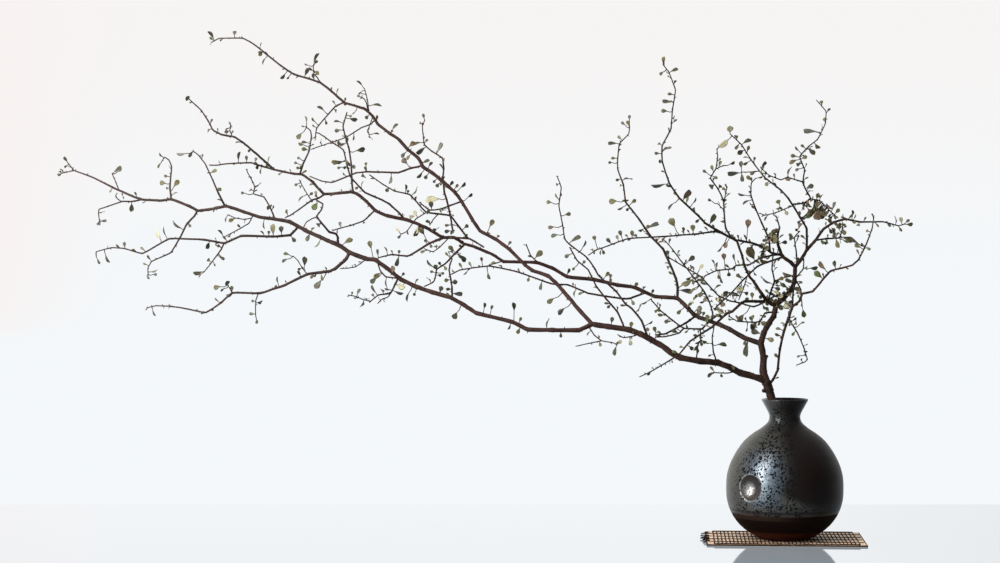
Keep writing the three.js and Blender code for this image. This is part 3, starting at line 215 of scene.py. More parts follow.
# %% Leaf finishes
FELTED = ("grey", "underside")
LEAF_COLOURS = {
    "dark": (rgb(0.036, 0.034, 0.019), rgb(0.08, 0.072, 0.042)),
    "olive": (rgb(0.074, 0.062, 0.024), rgb(0.145, 0.124, 0.054)),
    "green": (rgb(0.06, 0.078, 0.02), rgb(0.115, 0.14, 0.042)),
    "brown": (rgb(0.085, 0.052, 0.026), rgb(0.17, 0.112, 0.066)),
    "grey": (rgb(0.086, 0.078, 0.058), rgb(0.155, 0.142, 0.108)),
    "pale": (rgb(0.31, 0.275, 0.155), rgb(0.43, 0.39, 0.245)),
    "underside": (rgb(0.096, 0.086, 0.058), rgb(0.168, 0.15, 0.108)),
}
TONES = list(LEAF_COLOURS)


def leaf_finish(tone, dark, light):
    leaf = Finish("leaf_" + tone)
    mottle = leaf.noise(130, 2)
    grain = leaf.noise(1500, 2)
    rough, sheen = (0.75, 0.1) if tone in FELTED else (0.38, 0.0)
    colour = leaf.mix(leaf.step(mottle * 0.85 + grain * 0.15, 0.3, 0.7), dark, light)
    leaf.wear(Sheen_Weight=sheen, Specular_IOR_Level=0.28)
    return leaf.wear(Base_Color=colour, Roughness=rough + 0.15 * grain, Normal=leaf.bump(grain, 0.15, 0.0003))


leaf_materials = [leaf_finish(tone, *pair) for tone, pair in LEAF_COLOURS.items()]
print("leaf tones", len(leaf_materials))

# %% [markdown]
# The branch is listed bough by bough, as it is seen from the front. Each run has a name, the run that it
# grows from, its thickness, its depth behind the vase's axis and a line of points (x, z) in millimetres.
# Thickness and depth are spread evenly along the line.

# %% The branch as it is seen
BRANCH = {
    "trunk": [
        ("stem foot", "", (9, 9.2), (0, 0), ((27, 16.4), (-8.5, 148), (-15.5, 170))),
        ("trunk", "stem foot", (9.5, 10.8, 8.6, 7.4, 7.3, 6.4, 6.4, 6, 5.4, 5, 4.8), (0, 0, -2, 2, 5),
         ((-15.5, 170), (-18.5, 180), (-22, 190), (-26, 203), (-25.3, 220), (-29, 237), (-25, 250.6), (-20,
         260), (-13.5, 269.5), (-10.5, 283), (-1.5, 291.7), (6, 300), (11.3, 310.6), (12.2, 330.3))),
        ("left knob", "trunk", (5, 4.2), (0, -3), ((-19, 181), (-27, 180.5))),
        ("right knob", "trunk", (4.4, 3.4), (0, 2), ((-25.3, 220), (-20.6, 222))),
        ("inner left twig", "trunk", (1.9, 1.6, 1.2, 0.9), (0, 8, 8, 6), ((-12.6, 275), (-23.8, 273.7),
         (-29.8, 264), (-36.7, 262.6), (-57.5, 264), (-68, 270.5))),
        ("long inner twig", "trunk", (2, 1.7, 1.5, 1.3, 1.2), (0, 16, 24, 22, 16), ((-6.5, 287), (-8.4,
         294), (-13.5, 293.6), (-24.7, 286.6), (-37.5, 281.3), (-53.1, 285.7), (-66, 288.3), (-80.6, 295.2),
         (-101.1, 317.5), (-117.4, 327.3), (-141.4, 341.4))),
        ("short right twig", "trunk", (1.4, 1), (0, 10, 12), ((12, 314), (22, 327), (22.7, 339))),
        ("leaf twig", "trunk", (1.6, 1), (0, 10, 14), ((11.9, 316), (19, 302), (19.8, 289), (20.5, 284))),
    ],
    "lower_bough": [
        ("lower bough", "trunk", (8, 7.8, 7.3, 7.1, 6.8, 6.5, 6.3, 6.3), (0, -12, -22, -28, -30, -30),
         ((-22, 190), (-31.3, 195.6), (-54, 202.2), (-66, 208.8), (-80.5, 214.2), (-102, 216), (-126,
         220.2), (-134.5, 224.4), (-150, 236), (-174, 249), (-185.5, 253.4), (-212.4, 257.3), (-231.6,
         260.6))),
        ("lower upright twig", "lower bough", (1.6, 1), (0, -6, 0), ((-81.7, 214), (-86, 228), (-87.3, 245),
         (-85, 257))),
        ("low hanging twig", "lower bough", (1.2, 0.9), (0, -26), ((-58, 204), (-68.5, 201.6), (-85.3,
         202.2))),
        ("under twig", "lower bough", (1.2, 0.9), (0, -36, -40), ((-173, 248.5), (-185.5, 245.3), (-194.1,
         244.3), (-201, 248))),
        ("first riser", "lower bough", (2, 1.8, 1.5, 1.2), (-30, -25, -20, -25), ((-192, 254.5), (-200.8,
         275), (-214.3, 290.4), (-225.8, 304.8), (-230.6, 314.4), (-236.4, 326), (-249.3, 336.5), (-258.4,
         353))),
        ("second riser", "lower bough", (2.2, 2, 1.7, 1.4, 1.1, 0.9), (-29, -8, 4, 0, -8, -12), ((-164,
         244), (-172, 264.5), (-183.6, 279), (-191.2, 284.6), (-202.8, 300), (-223.9, 319.2), (-228.7,
         327.8), (-238.3, 341), (-258.4, 356), (-264.2, 362.6), (-267.1, 381), (-271.4, 402), (-268.5,
         424.1), (-273.3, 437.5))),
    ],
    "upper_bough": [
        ("upper bough", "lower bough", (5, 4.6, 4.4, 4.2, 4.1, 4, 4, 4.4, 4.1, 3.6, 3.2, 2.8), (-30, -5, 15,
         28, 38, 45, 50, 48), ((-231.6, 260.6), (-244, 274), (-259.4, 292.3), (-274.7, 309.6), (-284.3,
         318.2), (-303.5, 325), (-311.2, 330.7), (-330.4, 350.2), (-347.7, 362.6), (-365.9, 372.2), (-375.5,
         386.6), (-388, 407.8), (-396.7, 419.3), (-411.1, 431.8), (-423.6, 442.3), (-434.2, 449), (-440,
         459.6), (-452.4, 469.7), (-463, 481.7), (-474.5, 489.4), (-488.9, 500.9), (-494.6, 510), (-504.2,
         518.6), (-531, 526.6))),
        ("upper tip", "upper bough", (2.6, 2.1, 1.8, 1.3, 0.9), (48, 44, 38, 30, 24), ((-528, 525.8),
         (-543.6, 539.3), (-557, 549.8), (-570.5, 554.6), (-588.7, 559.9), (-605, 570.5), (-622.3, 584.4),
         (-636.2, 595.4), (-649.7, 603), (-678.5, 603.1), (-686.2, 599.1))),
        ("upper fork twig", "upper bough", (1.6, 1.3, 0.9), (48, 40, 34), ((-530, 526.4), (-539.8, 521),
         (-546.5, 513.8), (-561.8, 495.6), (-563.8, 481))),
        ("upper fork bud", "upper tip", (1.2, 0.8), (40, 34), ((-557, 549.8), (-561, 556), (-565, 560.5),
         (-566, 570))),
        ("low fork twig", "upper bough", (1.8, 1.1), (30, 20, 10), ((-388, 407.8), (-401.5, 403), (-413,
         398.6), (-426.5, 397.2), (-439, 406.8))),
        ("crossing twig", "upper bough", (2.2, 1.6), (38, 46, 50), ((-409.5, 430.5), (-409, 419), (-406,
         410), (-402, 392.4), (-399.6, 378), (-398, 370))),
        ("bowed riser", "upper bough", (2, 1.6, 1.2, 0.8), (38, 54, 60, 56), ((-411.1, 431.8), (-409.5,
         447.1), (-411.1, 459.6), (-423.6, 467.8), (-432.7, 475.9), (-434.6, 491.3), (-435.1, 499), (-432.2,
         504.7))),
        ("level twig", "upper bough", (2.3, 2, 1.7, 1.4, 1), (42, 60, 70, 75, 78), ((-435, 450.5), (-448.6,
         447.6), (-463.9, 442.3), (-500.4, 443.3), (-514.8, 441.8), (-543.6, 430.5), (-556.1, 432.2),
         (-570.5, 438))),
        ("faint twig", "upper bough", (1.3, 0.9), (48, 60, 66), ((-492, 505.5), (-496.5, 500.5), (-508.1,
         496.1), (-527, 484.4), (-553.2, 475.4), (-569, 470))),
        ("fork spur", "upper bough", (1.2, 0.9), (48, 40), ((-500, 515), (-502.3, 526.3), (-505.2, 531.1))),
        ("fork whisker", "upper bough", (1.1, 0.8), (48, 56), ((-499, 514), (-500.9, 529.2), (-504.2,
         542.6))),
        ("hanging spur", "upper bough", (1, 0.8), (48, 42), ((-495, 509), (-500.4, 493.2), (-499.3,
         488.5))),
    ],
    "long_bough": [
        ("long bough", "lower bough", (5.3, 5, 4.8, 4.7, 4.6, 4.5, 4.6, 4.8, 4.8, 4.6, 4.8, 5, 4.8), (-30,
         -34, -32, -26, -20, -14, -8, -4, -4, -8), ((-231.6, 260.6), (-246.9, 253.4), (-279.5, 253.4),
         (-308.3, 253.9), (-327.5, 263), (-369.8, 273.6), (-384.2, 282.7), (-401.5, 292.6), (-423.6, 298.8),
         (-442.8, 305.5), (-461, 314.2), (-469.7, 321.4), (-490.8, 337.2), (-503.3, 339.1), (-523.4, 346.8),
         (-534, 354.5), (-546.5, 359.8))),
        ("forked under twig", "long bough", (1.3, 0.9), (-32, -42, -46), ((-236, 258.5), (-228.7, 247.2),
         (-220, 240.5), (-206.6, 238.1), (-201.8, 235.7))),
        ("under fork", "forked under twig", (1.1, 0.8), (-40, -34), ((-220, 240.5), (-231.6, 238.1),
         (-251.3, 233.8))),
        ("middle riser", "long bough", (2.1, 1.4), (-15, -20, -26), ((-399.3, 291.5), (-399.6, 304.1),
         (-400.6, 311.8), (-403, 325.2), (-402, 331.9), (-399.3, 339))),
        ("drooping spray", "long bough", (2.3, 1.5, 1), (-4, -16, -24), ((-464.5, 315.5), (-468.7, 306.5),
         (-473.5, 297.4), (-487.9, 295.4), (-499, 286.3))),
        ("drooping fork", "drooping spray", (1.2, 0.8), (-12, -4), ((-473.5, 297.4), (-476.4, 293), (-484.1,
         290.2), (-488.9, 284.9))),
        ("drooping tip", "drooping spray", (1, 0.8), (-24, -30), ((-497, 288), (-505.2, 289.7), (-516.7,
         294), (-524, 295.4))),
        ("side strand", "long bough", (1.4, 1.2), (-6, -14, -6), ((-489, 335.8), (-486, 325.2), (-479.3,
         317.5), (-462, 315))),
        ("fine back twig", "long bough", (1, 0.8), (-4, 8), ((-502, 338.8), (-514.8, 329.5), (-524.4,
         327.6), (-534, 327.1))),
        ("zigzag riser", "long bough", (2.8, 2.3, 1.8, 1.3), (-8, -22, -30, -26), ((-536, 355.8), (-536.6,
         364), (-538.5, 368.6), (-546.5, 371), (-557, 382.8), (-561.8, 390), (-556, 398.2), (-554.6, 404.5),
         (-562.8, 409.7))),
        ("riser side twig", "zigzag riser", (1.1, 0.8), (-26, -34), ((-561.3, 389), (-567.6, 387.1),
         (-574.3, 382.8), (-577.7, 377))),
    ],
    "far_left_spray": [
        ("far bough", "long bough", (4.6, 4.4, 4.1, 3.7, 3.4, 3.3, 3.2, 3, 2.8, 2.5, 2.2, 1.9, 1.5, 1.2),
         (-8, -14, -22, -30, -34, -34, -28, -22), ((-546.5, 359.8), (-559, 365.5), (-576.2, 373.2), (-594.5,
         383.3), (-611.8, 386.4), (-630, 389), (-648.2, 394.8), (-670.3, 402), (-682.8, 399.6), (-700.1,
         396.7), (-704.9, 396.7), (-714.5, 402), (-736.6, 410.3), (-750, 408.7), (-771, 410), (-783, 414),
         (-806, 424.2), (-832, 437.2), (-855.5, 445.7))),
        ("far tip twig", "far bough", (1.1, 0.8), (-22, -14), ((-853, 444.8), (-862, 442.7), (-868,
         441.5))),
        ("far tip point", "far bough", (1, 0.8), (-22, -26), ((-853, 444.8), (-860.5, 454.2))),
        ("forward riser", "far bough", (2.3, 1.6, 1.2, 0.8), (-34, -44, -50), ((-672, 401.8), (-679.4,
         416.9), (-695.3, 452.4), (-703.9, 463.4), (-709.7, 467.8))),
        ("outer riser", "far bough", (2.1, 1.4, 0.9), (-30, -16, -8), ((-736.6, 410.3), (-738, 426),
         (-735.9, 449.5), (-739, 457.2), (-744.2, 460.5), (-747.5, 456))),
        ("curving dropper", "far bough", (2.3, 1.9, 1.3, 0.8), (-34, -22, -10, -4), ((-705, 396.7), (-708.7,
         390), (-717.4, 380.9), (-726, 364.2), (-737, 346.2), (-750, 340.2), (-760, 335.7), (-764.5, 328),
         (-764.3, 320))),
        ("level fork", "far bough", (1.7, 1.2, 0.8), (-27, -38, -44), ((-771, 410), (-784, 407.6), (-795,
         407.7), (-814, 401.2), (-823, 398.2), (-823.7, 393.2), (-822.5, 384))),
        ("fork curl", "level fork", (0.9, 0.8), (-34, -40), ((-796, 407.4), (-801.5, 411.5), (-803, 415))),
        ("whisker", "far bough", (1, 0.8), (-25, -18), ((-799, 421.2), (-803, 431.2), (-807.3, 441))),
        ("back riser", "far bough", (1.7, 1.3, 0.8), (-22, -14, -8), ((-612, 386.5), (-617.5, 400.1),
         (-625.2, 413), (-637.7, 416.9), (-636.2, 424.6), (-637.7, 429.4), (-644.4, 441.8), (-646.5, 447))),
        ("fine under twig", "far bough", (1.1, 0.8), (-28, -38), ((-638, 391.5), (-643.4, 381.4), (-654,
         375.1), (-673.2, 364.8))),
        ("pale under twig", "fine under twig", (0.9, 0.8), (-30, -24), ((-640, 387.5), (-649.2, 386.2),
         (-660.7, 388.1), (-668.4, 391.9))),
    ],
    "low_left_spray": [
        ("low bough", "far bough", (2.7, 2.5, 2.3, 2, 1.6, 1.2, 0.9), (-23, -40, -54, -62, -66, -66),
         ((-584, 377.4), (-593.5, 367.4), (-615.6, 365.5), (-652, 366.3), (-673, 357.7), (-696, 361.7),
         (-739, 362.9), (-771, 345.2), (-793, 351.2), (-808, 352.2), (-826.5, 347.2), (-826.5, 342))),
        ("low dropper", "low bough", (1.6, 1, 0.8), (-50, -42, -38), ((-673, 357.7), (-676.5, 350.2), (-689,
         333.2), (-696, 324.5))),
    ],
    "lowest_spray": [
        ("lowest bough", "long bough", (3.8, 3.4, 3.1, 2.8, 2.5, 2.2, 2, 1.6, 1.3, 0.9), (-5, -20, -34, -44,
         -50, -52), ((-522.5, 346.4), (-526.3, 339.1), (-539.8, 327.1), (-545.5, 324.2), (-572.4, 320.4),
         (-600.2, 307.4), (-630, 297.5), (-663.5, 298), (-676, 286.7), (-695, 274.3), (-720, 279.2), (-736,
         281.7), (-755, 282.5), (-766, 279.8))),
        ("lowest dropper", "lowest bough", (1.1, 0.8), (-38, -32), ((-632, 297.4), (-635, 289.2), (-635.5,
         272.2), (-634.5, 267))),
        ("lowest whisker", "lowest bough", (1, 0.8), (-26, -18), ((-573, 320.2), (-579.1, 327.6), (-584.9,
         337.2), (-590, 342))),
        ("lowest spur", "lowest bough", (1.1, 0.8), (-42, -48), ((-663.5, 298), (-668.5, 307.5))),
    ],
    "middle_bough": [
        ("middle bough", "trunk", (6.2, 5.4, 4.8, 4.8, 4.6, 4.2, 4.3, 4.2, 3.9, 3.7, 3.5, 3.3, 3.2), (0, 14,
         28, 40, 47, 50, 48, 42, 36, 32, 30, 28), ((-29, 237), (-48, 243.6), (-66, 254), (-78.5, 260),
         (-103.5, 268.7), (-109, 271.4), (-115, 278.3), (-129.6, 291.7), (-156, 293.5), (-180.7, 304.8),
         (-200.8, 307.2), (-231.6, 314.4), (-261.3, 317.3), (-279.5, 327.8), (-298.7, 334.6), (-338, 335.6),
         (-349, 343), (-370.7, 352.6), (-386, 357.2))),
        ("lower strand", "middle bough", (2.2, 1.9, 1.6, 1.4, 1.1), (46, 30, 22, 16, 12), ((-167, 298.5),
         (-185.5, 291.4), (-195, 290.9), (-236.4, 297.6), (-260.4, 307.7), (-279.5, 308.6), (-319.9, 323),
         (-355.4, 330.2), (-390, 325.4), (-401, 320))),
        ("strand link", "lower strand", (1.2, 1.1), (14, 26), ((-356, 330.2), (-351, 332.6), (-340,
         335.6))),
        ("slanting twig", "middle bough", (2.5, 1.7, 1.1), (28, 16, 8), ((-384, 356.6), (-395.8, 345.4),
         (-407.3, 333.4), (-417.8, 326.2), (-419.8, 315.6), (-422.2, 310.8), (-433.2, 305.4))),
        ("elbow twig", "middle bough", (2.6, 1.6), (38, 20, 10), ((-107, 270.4), (-119, 261.7), (-127,
         257.6), (-143, 248.9), (-154.3, 247.6))),
        ("thin loop twig", "middle bough", (1.3, 0.9), (30, 36), ((-296, 333.6), (-305.5, 343.4), (-310.8,
         357))),
    ],
    "middle_riser": [
        ("middle riser stem", "middle bough", (3, 2.6, 2.4, 2.1, 1.8, 1.4, 1.1, 0.9), (42, 55, 62, 60, 56),
         ((-129, 291.2), (-129, 305.5), (-130.7, 315), (-138.9, 334), (-146.6, 351), (-161.5, 366), (-174,
         384.7), (-185.5, 399.6), (-191.2, 406.8), (-194.1, 427.9), (-200.8, 446.2), (-200.8, 459.6),
         (-198.7, 477), (-187.9, 488.4), (-186.5, 495.5))),
    ],
    "upper_spray": [
        ("upper spray", "middle bough", (3.3, 3.6, 3.8, 3.9, 3.7, 3.3, 3, 2.6, 2.2, 1.8, 1.4, 1.1), (28, 22,
         14, 8, 4, 0, -4, -6), ((-386, 357.2), (-397, 364.4), (-411.1, 364.6), (-431.3, 376.6), (-452.4,
         385.2), (-477.4, 390.5), (-490.8, 396.2), (-502.3, 407.8), (-512.9, 416.4), (-519, 418.9), (-534,
         417.8), (-553.2, 416.7), (-567.6, 431.8), (-579.1, 439.9), (-589.7, 440.9), (-615.6, 446.5),
         (-633.8, 451.9), (-640.6, 454.1), (-669.4, 452.9), (-682.8, 451), (-691, 451.3))),
        ("spray second strand", "upper spray", (2.1, 1.7), (25, 17, 14), ((-399, 364.4), (-379.4, 363.1),
         (-372, 359.5), (-361, 352.5))),
        ("spray lower arm", "upper spray", (2.8, 2.3, 1.8, 1.2), (22, 27, 31, 33), ((-409, 364.6), (-426.5,
         357.4), (-448.6, 343.9), (-453.4, 342), (-471.6, 343.9), (-488, 340.2))),
        ("spray fine loop", "upper spray", (1, 0.8), (22, 14), ((-403, 364.5), (-414, 353), (-422.6, 347.3),
         (-433, 351))),
        ("spray front twig", "spray second strand", (2.4, 2, 1.7, 1.5, 1.3, 1), (20, 6, -4, -10, -12),
         ((-380.5, 363.4), (-391, 377), (-399.6, 388.6), (-403.4, 391), (-415.9, 392.7), (-431, 395),
         (-443.8, 409.2), (-450.5, 416), (-468.7, 420.2), (-484.1, 429.4), (-499, 439.9))),
        ("front twig spur", "spray front twig", (1.1, 0.8), (0, -8), ((-415.9, 392.7), (-421.7, 386.6),
         (-426.5, 379))),
        ("front twig whisker", "spray front twig", (1.1, 0.8), (-5, -14), ((-430, 394.8), (-442.8, 386.6),
         (-454.3, 371.3), (-460.5, 368.5))),
        ("arched riser", "upper spray", (2.3, 1.9, 1.5, 1.1), (16, 0, -12, -20, -25), ((-456, 386), (-463,
         393.8), (-474.5, 404.4), (-484.1, 409.7), (-503.8, 418.3), (-521.5, 437.5), (-525.8, 452.9),
         (-529.7, 469.2), (-543.6, 478.8), (-559, 489.4), (-563, 490))),
        ("straight riser", "upper spray", (2.3, 1.7, 1.2), (7, 14, 20, 24), ((-518, 418.6), (-519.8, 430),
         (-520.1, 449), (-523.4, 472.1), (-528.2, 487.9), (-530.2, 498), (-525.4, 514.8))),
        ("down fork", "upper spray", (1.9, 1.6, 1.2), (4, -1, -2), ((-551.5, 416.8), (-559.9, 411.6),
         (-567.6, 409.2), (-583, 398.2), (-593.5, 391), (-599, 388.6))),
        ("fork up twig", "down fork", (1, 0.8), (-1, -8), ((-568, 408.9), (-571.4, 413.5), (-576.2, 421.2),
         (-583, 434))),
        ("back link", "upper spray", (1.7, 1), (10, 14, 15), ((-492, 396.8), (-498.5, 391), (-505.2, 384.7),
         (-520.6, 379), (-535.9, 375.1), (-543, 372.5))),
        ("leaning riser", "upper spray", (2.1, 1.5, 1), (2, -8, -14), ((-582, 440.2), (-578.2, 452.9),
         (-571, 468.2), (-568.1, 486.5), (-569.5, 492.7), (-574, 496.5))),
        ("second tip", "upper spray", (2.6, 2.3, 2, 1.7, 1.3, 0.9), (-1, -14, -26, -34, -38), ((-613, 446),
         (-624.2, 455.8), (-634.8, 465.4), (-647.3, 475.9), (-659.8, 484.6), (-676.1, 487.9), (-686.2,
         493.2), (-691.9, 504.2), (-700.1, 516.7), (-715, 530.6), (-719, 532.8))),
        ("second tip whisker", "second tip", (1, 0.8), (-24, -18), ((-663, 485.2), (-666, 493), (-664.5,
         498))),
    ],
    "left_arm": [
        ("left arm", "trunk", (5, 4.4, 3.5, 2.9, 2.6, 2.4, 2.5), (-2, -10, -18, -25, -30), ((-10.6, 282),
         (-22, 288.3), (-28, 297), (-36.7, 310.6), (-42.7, 317.5), (-49, 332), (-51.3, 342), (-58, 360.5))),
        ("arm upright", "left arm", (1.9, 1.2), (-8, -20, -28), ((-20, 287.2), (-17.8, 297), (-12.7, 312.3),
         (-15.7, 327), (-14.5, 342), (-13.3, 351))),
        ("inner branch", "left arm", (3.3, 3.1, 2.8, 2.5, 2.1, 1.8, 1.6, 1.3, 0.9), (-10, -30, -48, -62,
         -66, -64, -58), ((-21, 287.8), (-47.8, 287.7), (-52, 286), (-63.4, 275.5), (-70.3, 272.9), (-86.6,
         257.5), (-102.9, 247.2), (-113.5, 240.2), (-127.5, 223.8), (-135.5, 218.6), (-162, 202.8), (-174,
         197.4))),
        ("branch fork", "inner branch", (2.3, 1.9, 1.5, 1.2), (-44, -36, -28, -20), ((-74.5, 269.2), (-80.6,
         271.6), (-94.3, 260.5), (-99.4, 254.7), (-121.5, 255.1), (-126.9, 249.7), (-143, 245.5), (-156,
         245))),
        ("fork riser", "branch fork", (1.6, 1.1), (-28, -22, -18), ((-121, 255.1), (-126, 258.3), (-141.4,
         270.3), (-149.5, 276.8), (-161.5, 290.8))),
        ("fork dropper", "branch fork", (1.2, 0.9), (-34, -40), ((-101.5, 254.7), (-101, 242))),
        ("tall inner twig", "branch fork", (1.8, 1.5, 1.2, 0.9), (-38, -30, -28, -27, -26), ((-98.5, 255.8),
         (-88.3, 266), (-86.6, 273.7), (-90.9, 287.5), (-96.9, 299.5), (-109.7, 316.6), (-123.4, 334.5),
         (-136.3, 351.8), (-146, 362.5))),
    ],
    "left_risers": [
        ("tall riser", "left arm", (2.8, 2.5, 2.2, 2, 1.8, 1.6, 1.4, 1.2, 1, 0.8), (-30, -44, -54, -60, -58,
         -52), ((-58, 360.5), (-78.9, 371.5), (-96, 381.8), (-103.7, 390.3), (-126.9, 411.7), (-138.9,
         429.8), (-147.3, 455), (-147.6, 474), (-137, 495), (-135.1, 519), (-131.7, 541.2), (-139.4, 562.3),
         (-146.5, 571.5))),
        ("short riser", "tall riser", (2, 1.6, 1.3, 0.9), (-32, -22, -16, -12), ((-63.5, 363.4), (-71.1,
         375), (-73.3, 397.2), (-73.7, 408.3), (-80.6, 423), (-89.6, 435.7), (-83.1, 447), (-81, 462), (-82,
         471))),
        ("short riser left", "short riser", (0.9, 0.8), (-20, -26), ((-73.4, 397), (-80.6, 404.9))),
        ("short riser right", "short riser", (1, 0.8), (-18, -12), ((-73.5, 407), (-71.1, 418.6), (-69.4,
         425.5))),
        ("short riser top", "short riser", (0.9, 0.8), (-14, -8), ((-83.3, 446.6), (-77.1, 449.5), (-72,
         450.8))),
        ("long level twig", "tall riser", (1.9, 1.6, 1.4, 1.2, 0.9), (-40, -54, -62, -66), ((-75, 369.4),
         (-84.9, 371.5), (-107, 368.5), (-126, 367.2), (-143.1, 365.7), (-188.4, 363.1), (-213.3, 354),
         (-225.8, 349.7), (-236.4, 343))),
    ],
    "crown_left": [
        ("crown arm", "trunk", (4.4, 4.1, 3.6, 2.9, 2), (5, 2, -4, -8), ((12.2, 329), (7, 334.6), (-3.3,
         342), (-8.4, 356), (-9.3, 363), (-8.8, 367.5), (-6.3, 377.5))),
        ("crown arm tip", "crown arm", (1.3, 0.9), (-8, -12), ((-6.5, 376.5), (-10, 388.6), (-14, 391.6))),
        ("back runner", "crown arm", (2.2, 1.9, 1.7, 1.4), (2, 20, 34, 44, 52), ((-2, 341.2), (-22, 334.6),
         (-33.3, 329.5), (-51.3, 312.3), (-65.1, 297), (-83.1, 280.6))),
        ("back twig", "back runner", (1.1, 0.8), (30, 34), ((-45.6, 317.8), (-48.9, 306.3), (-53.1, 295.2),
         (-55.7, 289))),
        ("level runner", "crown arm", (2.1, 1.6, 1.1), (0, 12, 24, 34, 40), ((-4.5, 344), (-16, 343), (-30,
         339.5), (-42.9, 331.6), (-58.3, 331.2), (-63.4, 326.9), (-82.3, 324.7), (-96, 318.3), (-100.5,
         309.5))),
        ("forward runner", "crown arm", (2.8, 2.5, 2.3), (0, -8, -14, -20, -23), ((-4, 343), (-16, 345.8),
         (-23.8, 351.8), (-39.3, 357.8), (-50.5, 359.8), (-57, 361.4))),
        ("runner riser", "forward runner", (2.1, 1.5, 0.9), (-4, -14, -20), ((-18, 347), (-19.5, 363), (-28,
         381.8), (-35, 398), (-41, 415.2), (-40.5, 429.8), (-35, 435.7))),
    ],
    "crown_right": [
        ("right arm", "trunk", (4.4, 4, 3.6, 3.2, 2.8, 2.4, 2.1, 1.8, 1.5, 1.2, 0.9), (5, 10, 16, 20, 20,
         16), ((12.2, 329), (20, 339), (26.5, 350), (35.3, 359.5), (45.6, 374), (58.3, 382.6), (72, 386.5),
         (90.9, 383), (117.5, 383.3), (136.3, 378.5), (143.2, 380.5))),
        ("crown riser", "right arm", (2.7, 2.3, 1.9, 1.5, 1.2, 0.9), (12, 24, 34, 40, 38), ((26.5, 349),
         (25.9, 375), (18.2, 388.6), (3.6, 411.7), (-5, 421.2), (-24.7, 436.6), (-41.5, 458.5), (-52.6,
         476), (-66, 488.5))),
        ("arm loop", "right arm", (1.9, 1.1), (15, 4, 10), ((36.5, 361), (50, 363.2), (65.2, 364.2), (69,
         375.7), (68.8, 381.7))),
        ("right riser", "crown riser", (1.9, 1.6, 1.3, 1.1, 0.9, 0.7), (30, 14, 4, -4), ((8.5, 404), (23,
         405.8), (30.2, 411.7), (24.2, 423), (21.2, 431), (23.3, 446), (17.5, 461.2), (28.6, 474.2), (38.8,
         482), (48, 501), (48.9, 515.7), (37, 529.5))),
        ("riser left twig", "right riser", (1.3, 0.8), (12, 20), ((21.2, 431), (2.7, 436.6), (-5, 433.6),
         (-19.5, 439.2), (-29, 447.8))),
        ("riser right twig", "right riser", (1.1, 0.8), (20, 26), ((29.5, 410.5), (41.2, 409), (54, 396.3),
         (64, 387.5))),
        ("centre twig", "right arm", (1.7, 1.3, 0.9), (6, 26, 30), ((14.5, 332), (13.5, 346.6), (11.3,
         364.6), (18, 372.3))),
        ("pale twig", "crown riser", (1, 0.8), (28, 42), ((9.5, 402.5), (3.6, 400.2), (-10, 394.6), (-23.8,
         391.2), (-31.5, 393.8))),
        ("riser whisker", "crown riser", (1, 0.8), (38, 44), ((-30.5, 444.2), (-42, 443), (-52, 442.8))),
    ],
    "right_stem": [
        ("right stem", "trunk", (3, 2.7, 2.6, 2.6, 2.9, 3.3, 3.1, 2.6, 2.4, 2.3, 2.2, 2, 1.8, 1.5, 1.2,
         0.9), (0, -14, -22, -26, -30, -34, -36, -32), ((-20.5, 186), (-14, 194), (-8.7, 205), (-6, 231),
         (-0.9, 252.5), (4.6, 268.3), (9, 281.5), (17.3, 288), (21.2, 297), (33.4, 299.8), (47.3, 316.4),
         (55, 324.3), (80.6, 331.2), (88.3, 338), (97.8, 357), (104.6, 375.7), (106.7, 391))),
        ("drooping twig", "right stem", (1.6, 1.2, 0.8), (-27, -36, -40), ((4.3, 267.5), (14.7, 250.5),
         (22.5, 232.8), (26.9, 218), (24, 215), (15.5, 211.8))),
        ("stem strand", "right stem", (2, 1.4), (-28, -16, -13), ((9, 281), (9.8, 298.6), (11, 308))),
    ],
}
print("listed runs", sum(len(rows) for rows in BRANCH.values()))

# %% [markdown]
# The leaves that stand clear are listed by tone: the middle of the blade (x, z), its length and the width
# that is seen, and for a few a point on the twig that they grow from. Scattering them all would be shorter,
# but it is by these leaves that the outline is known.

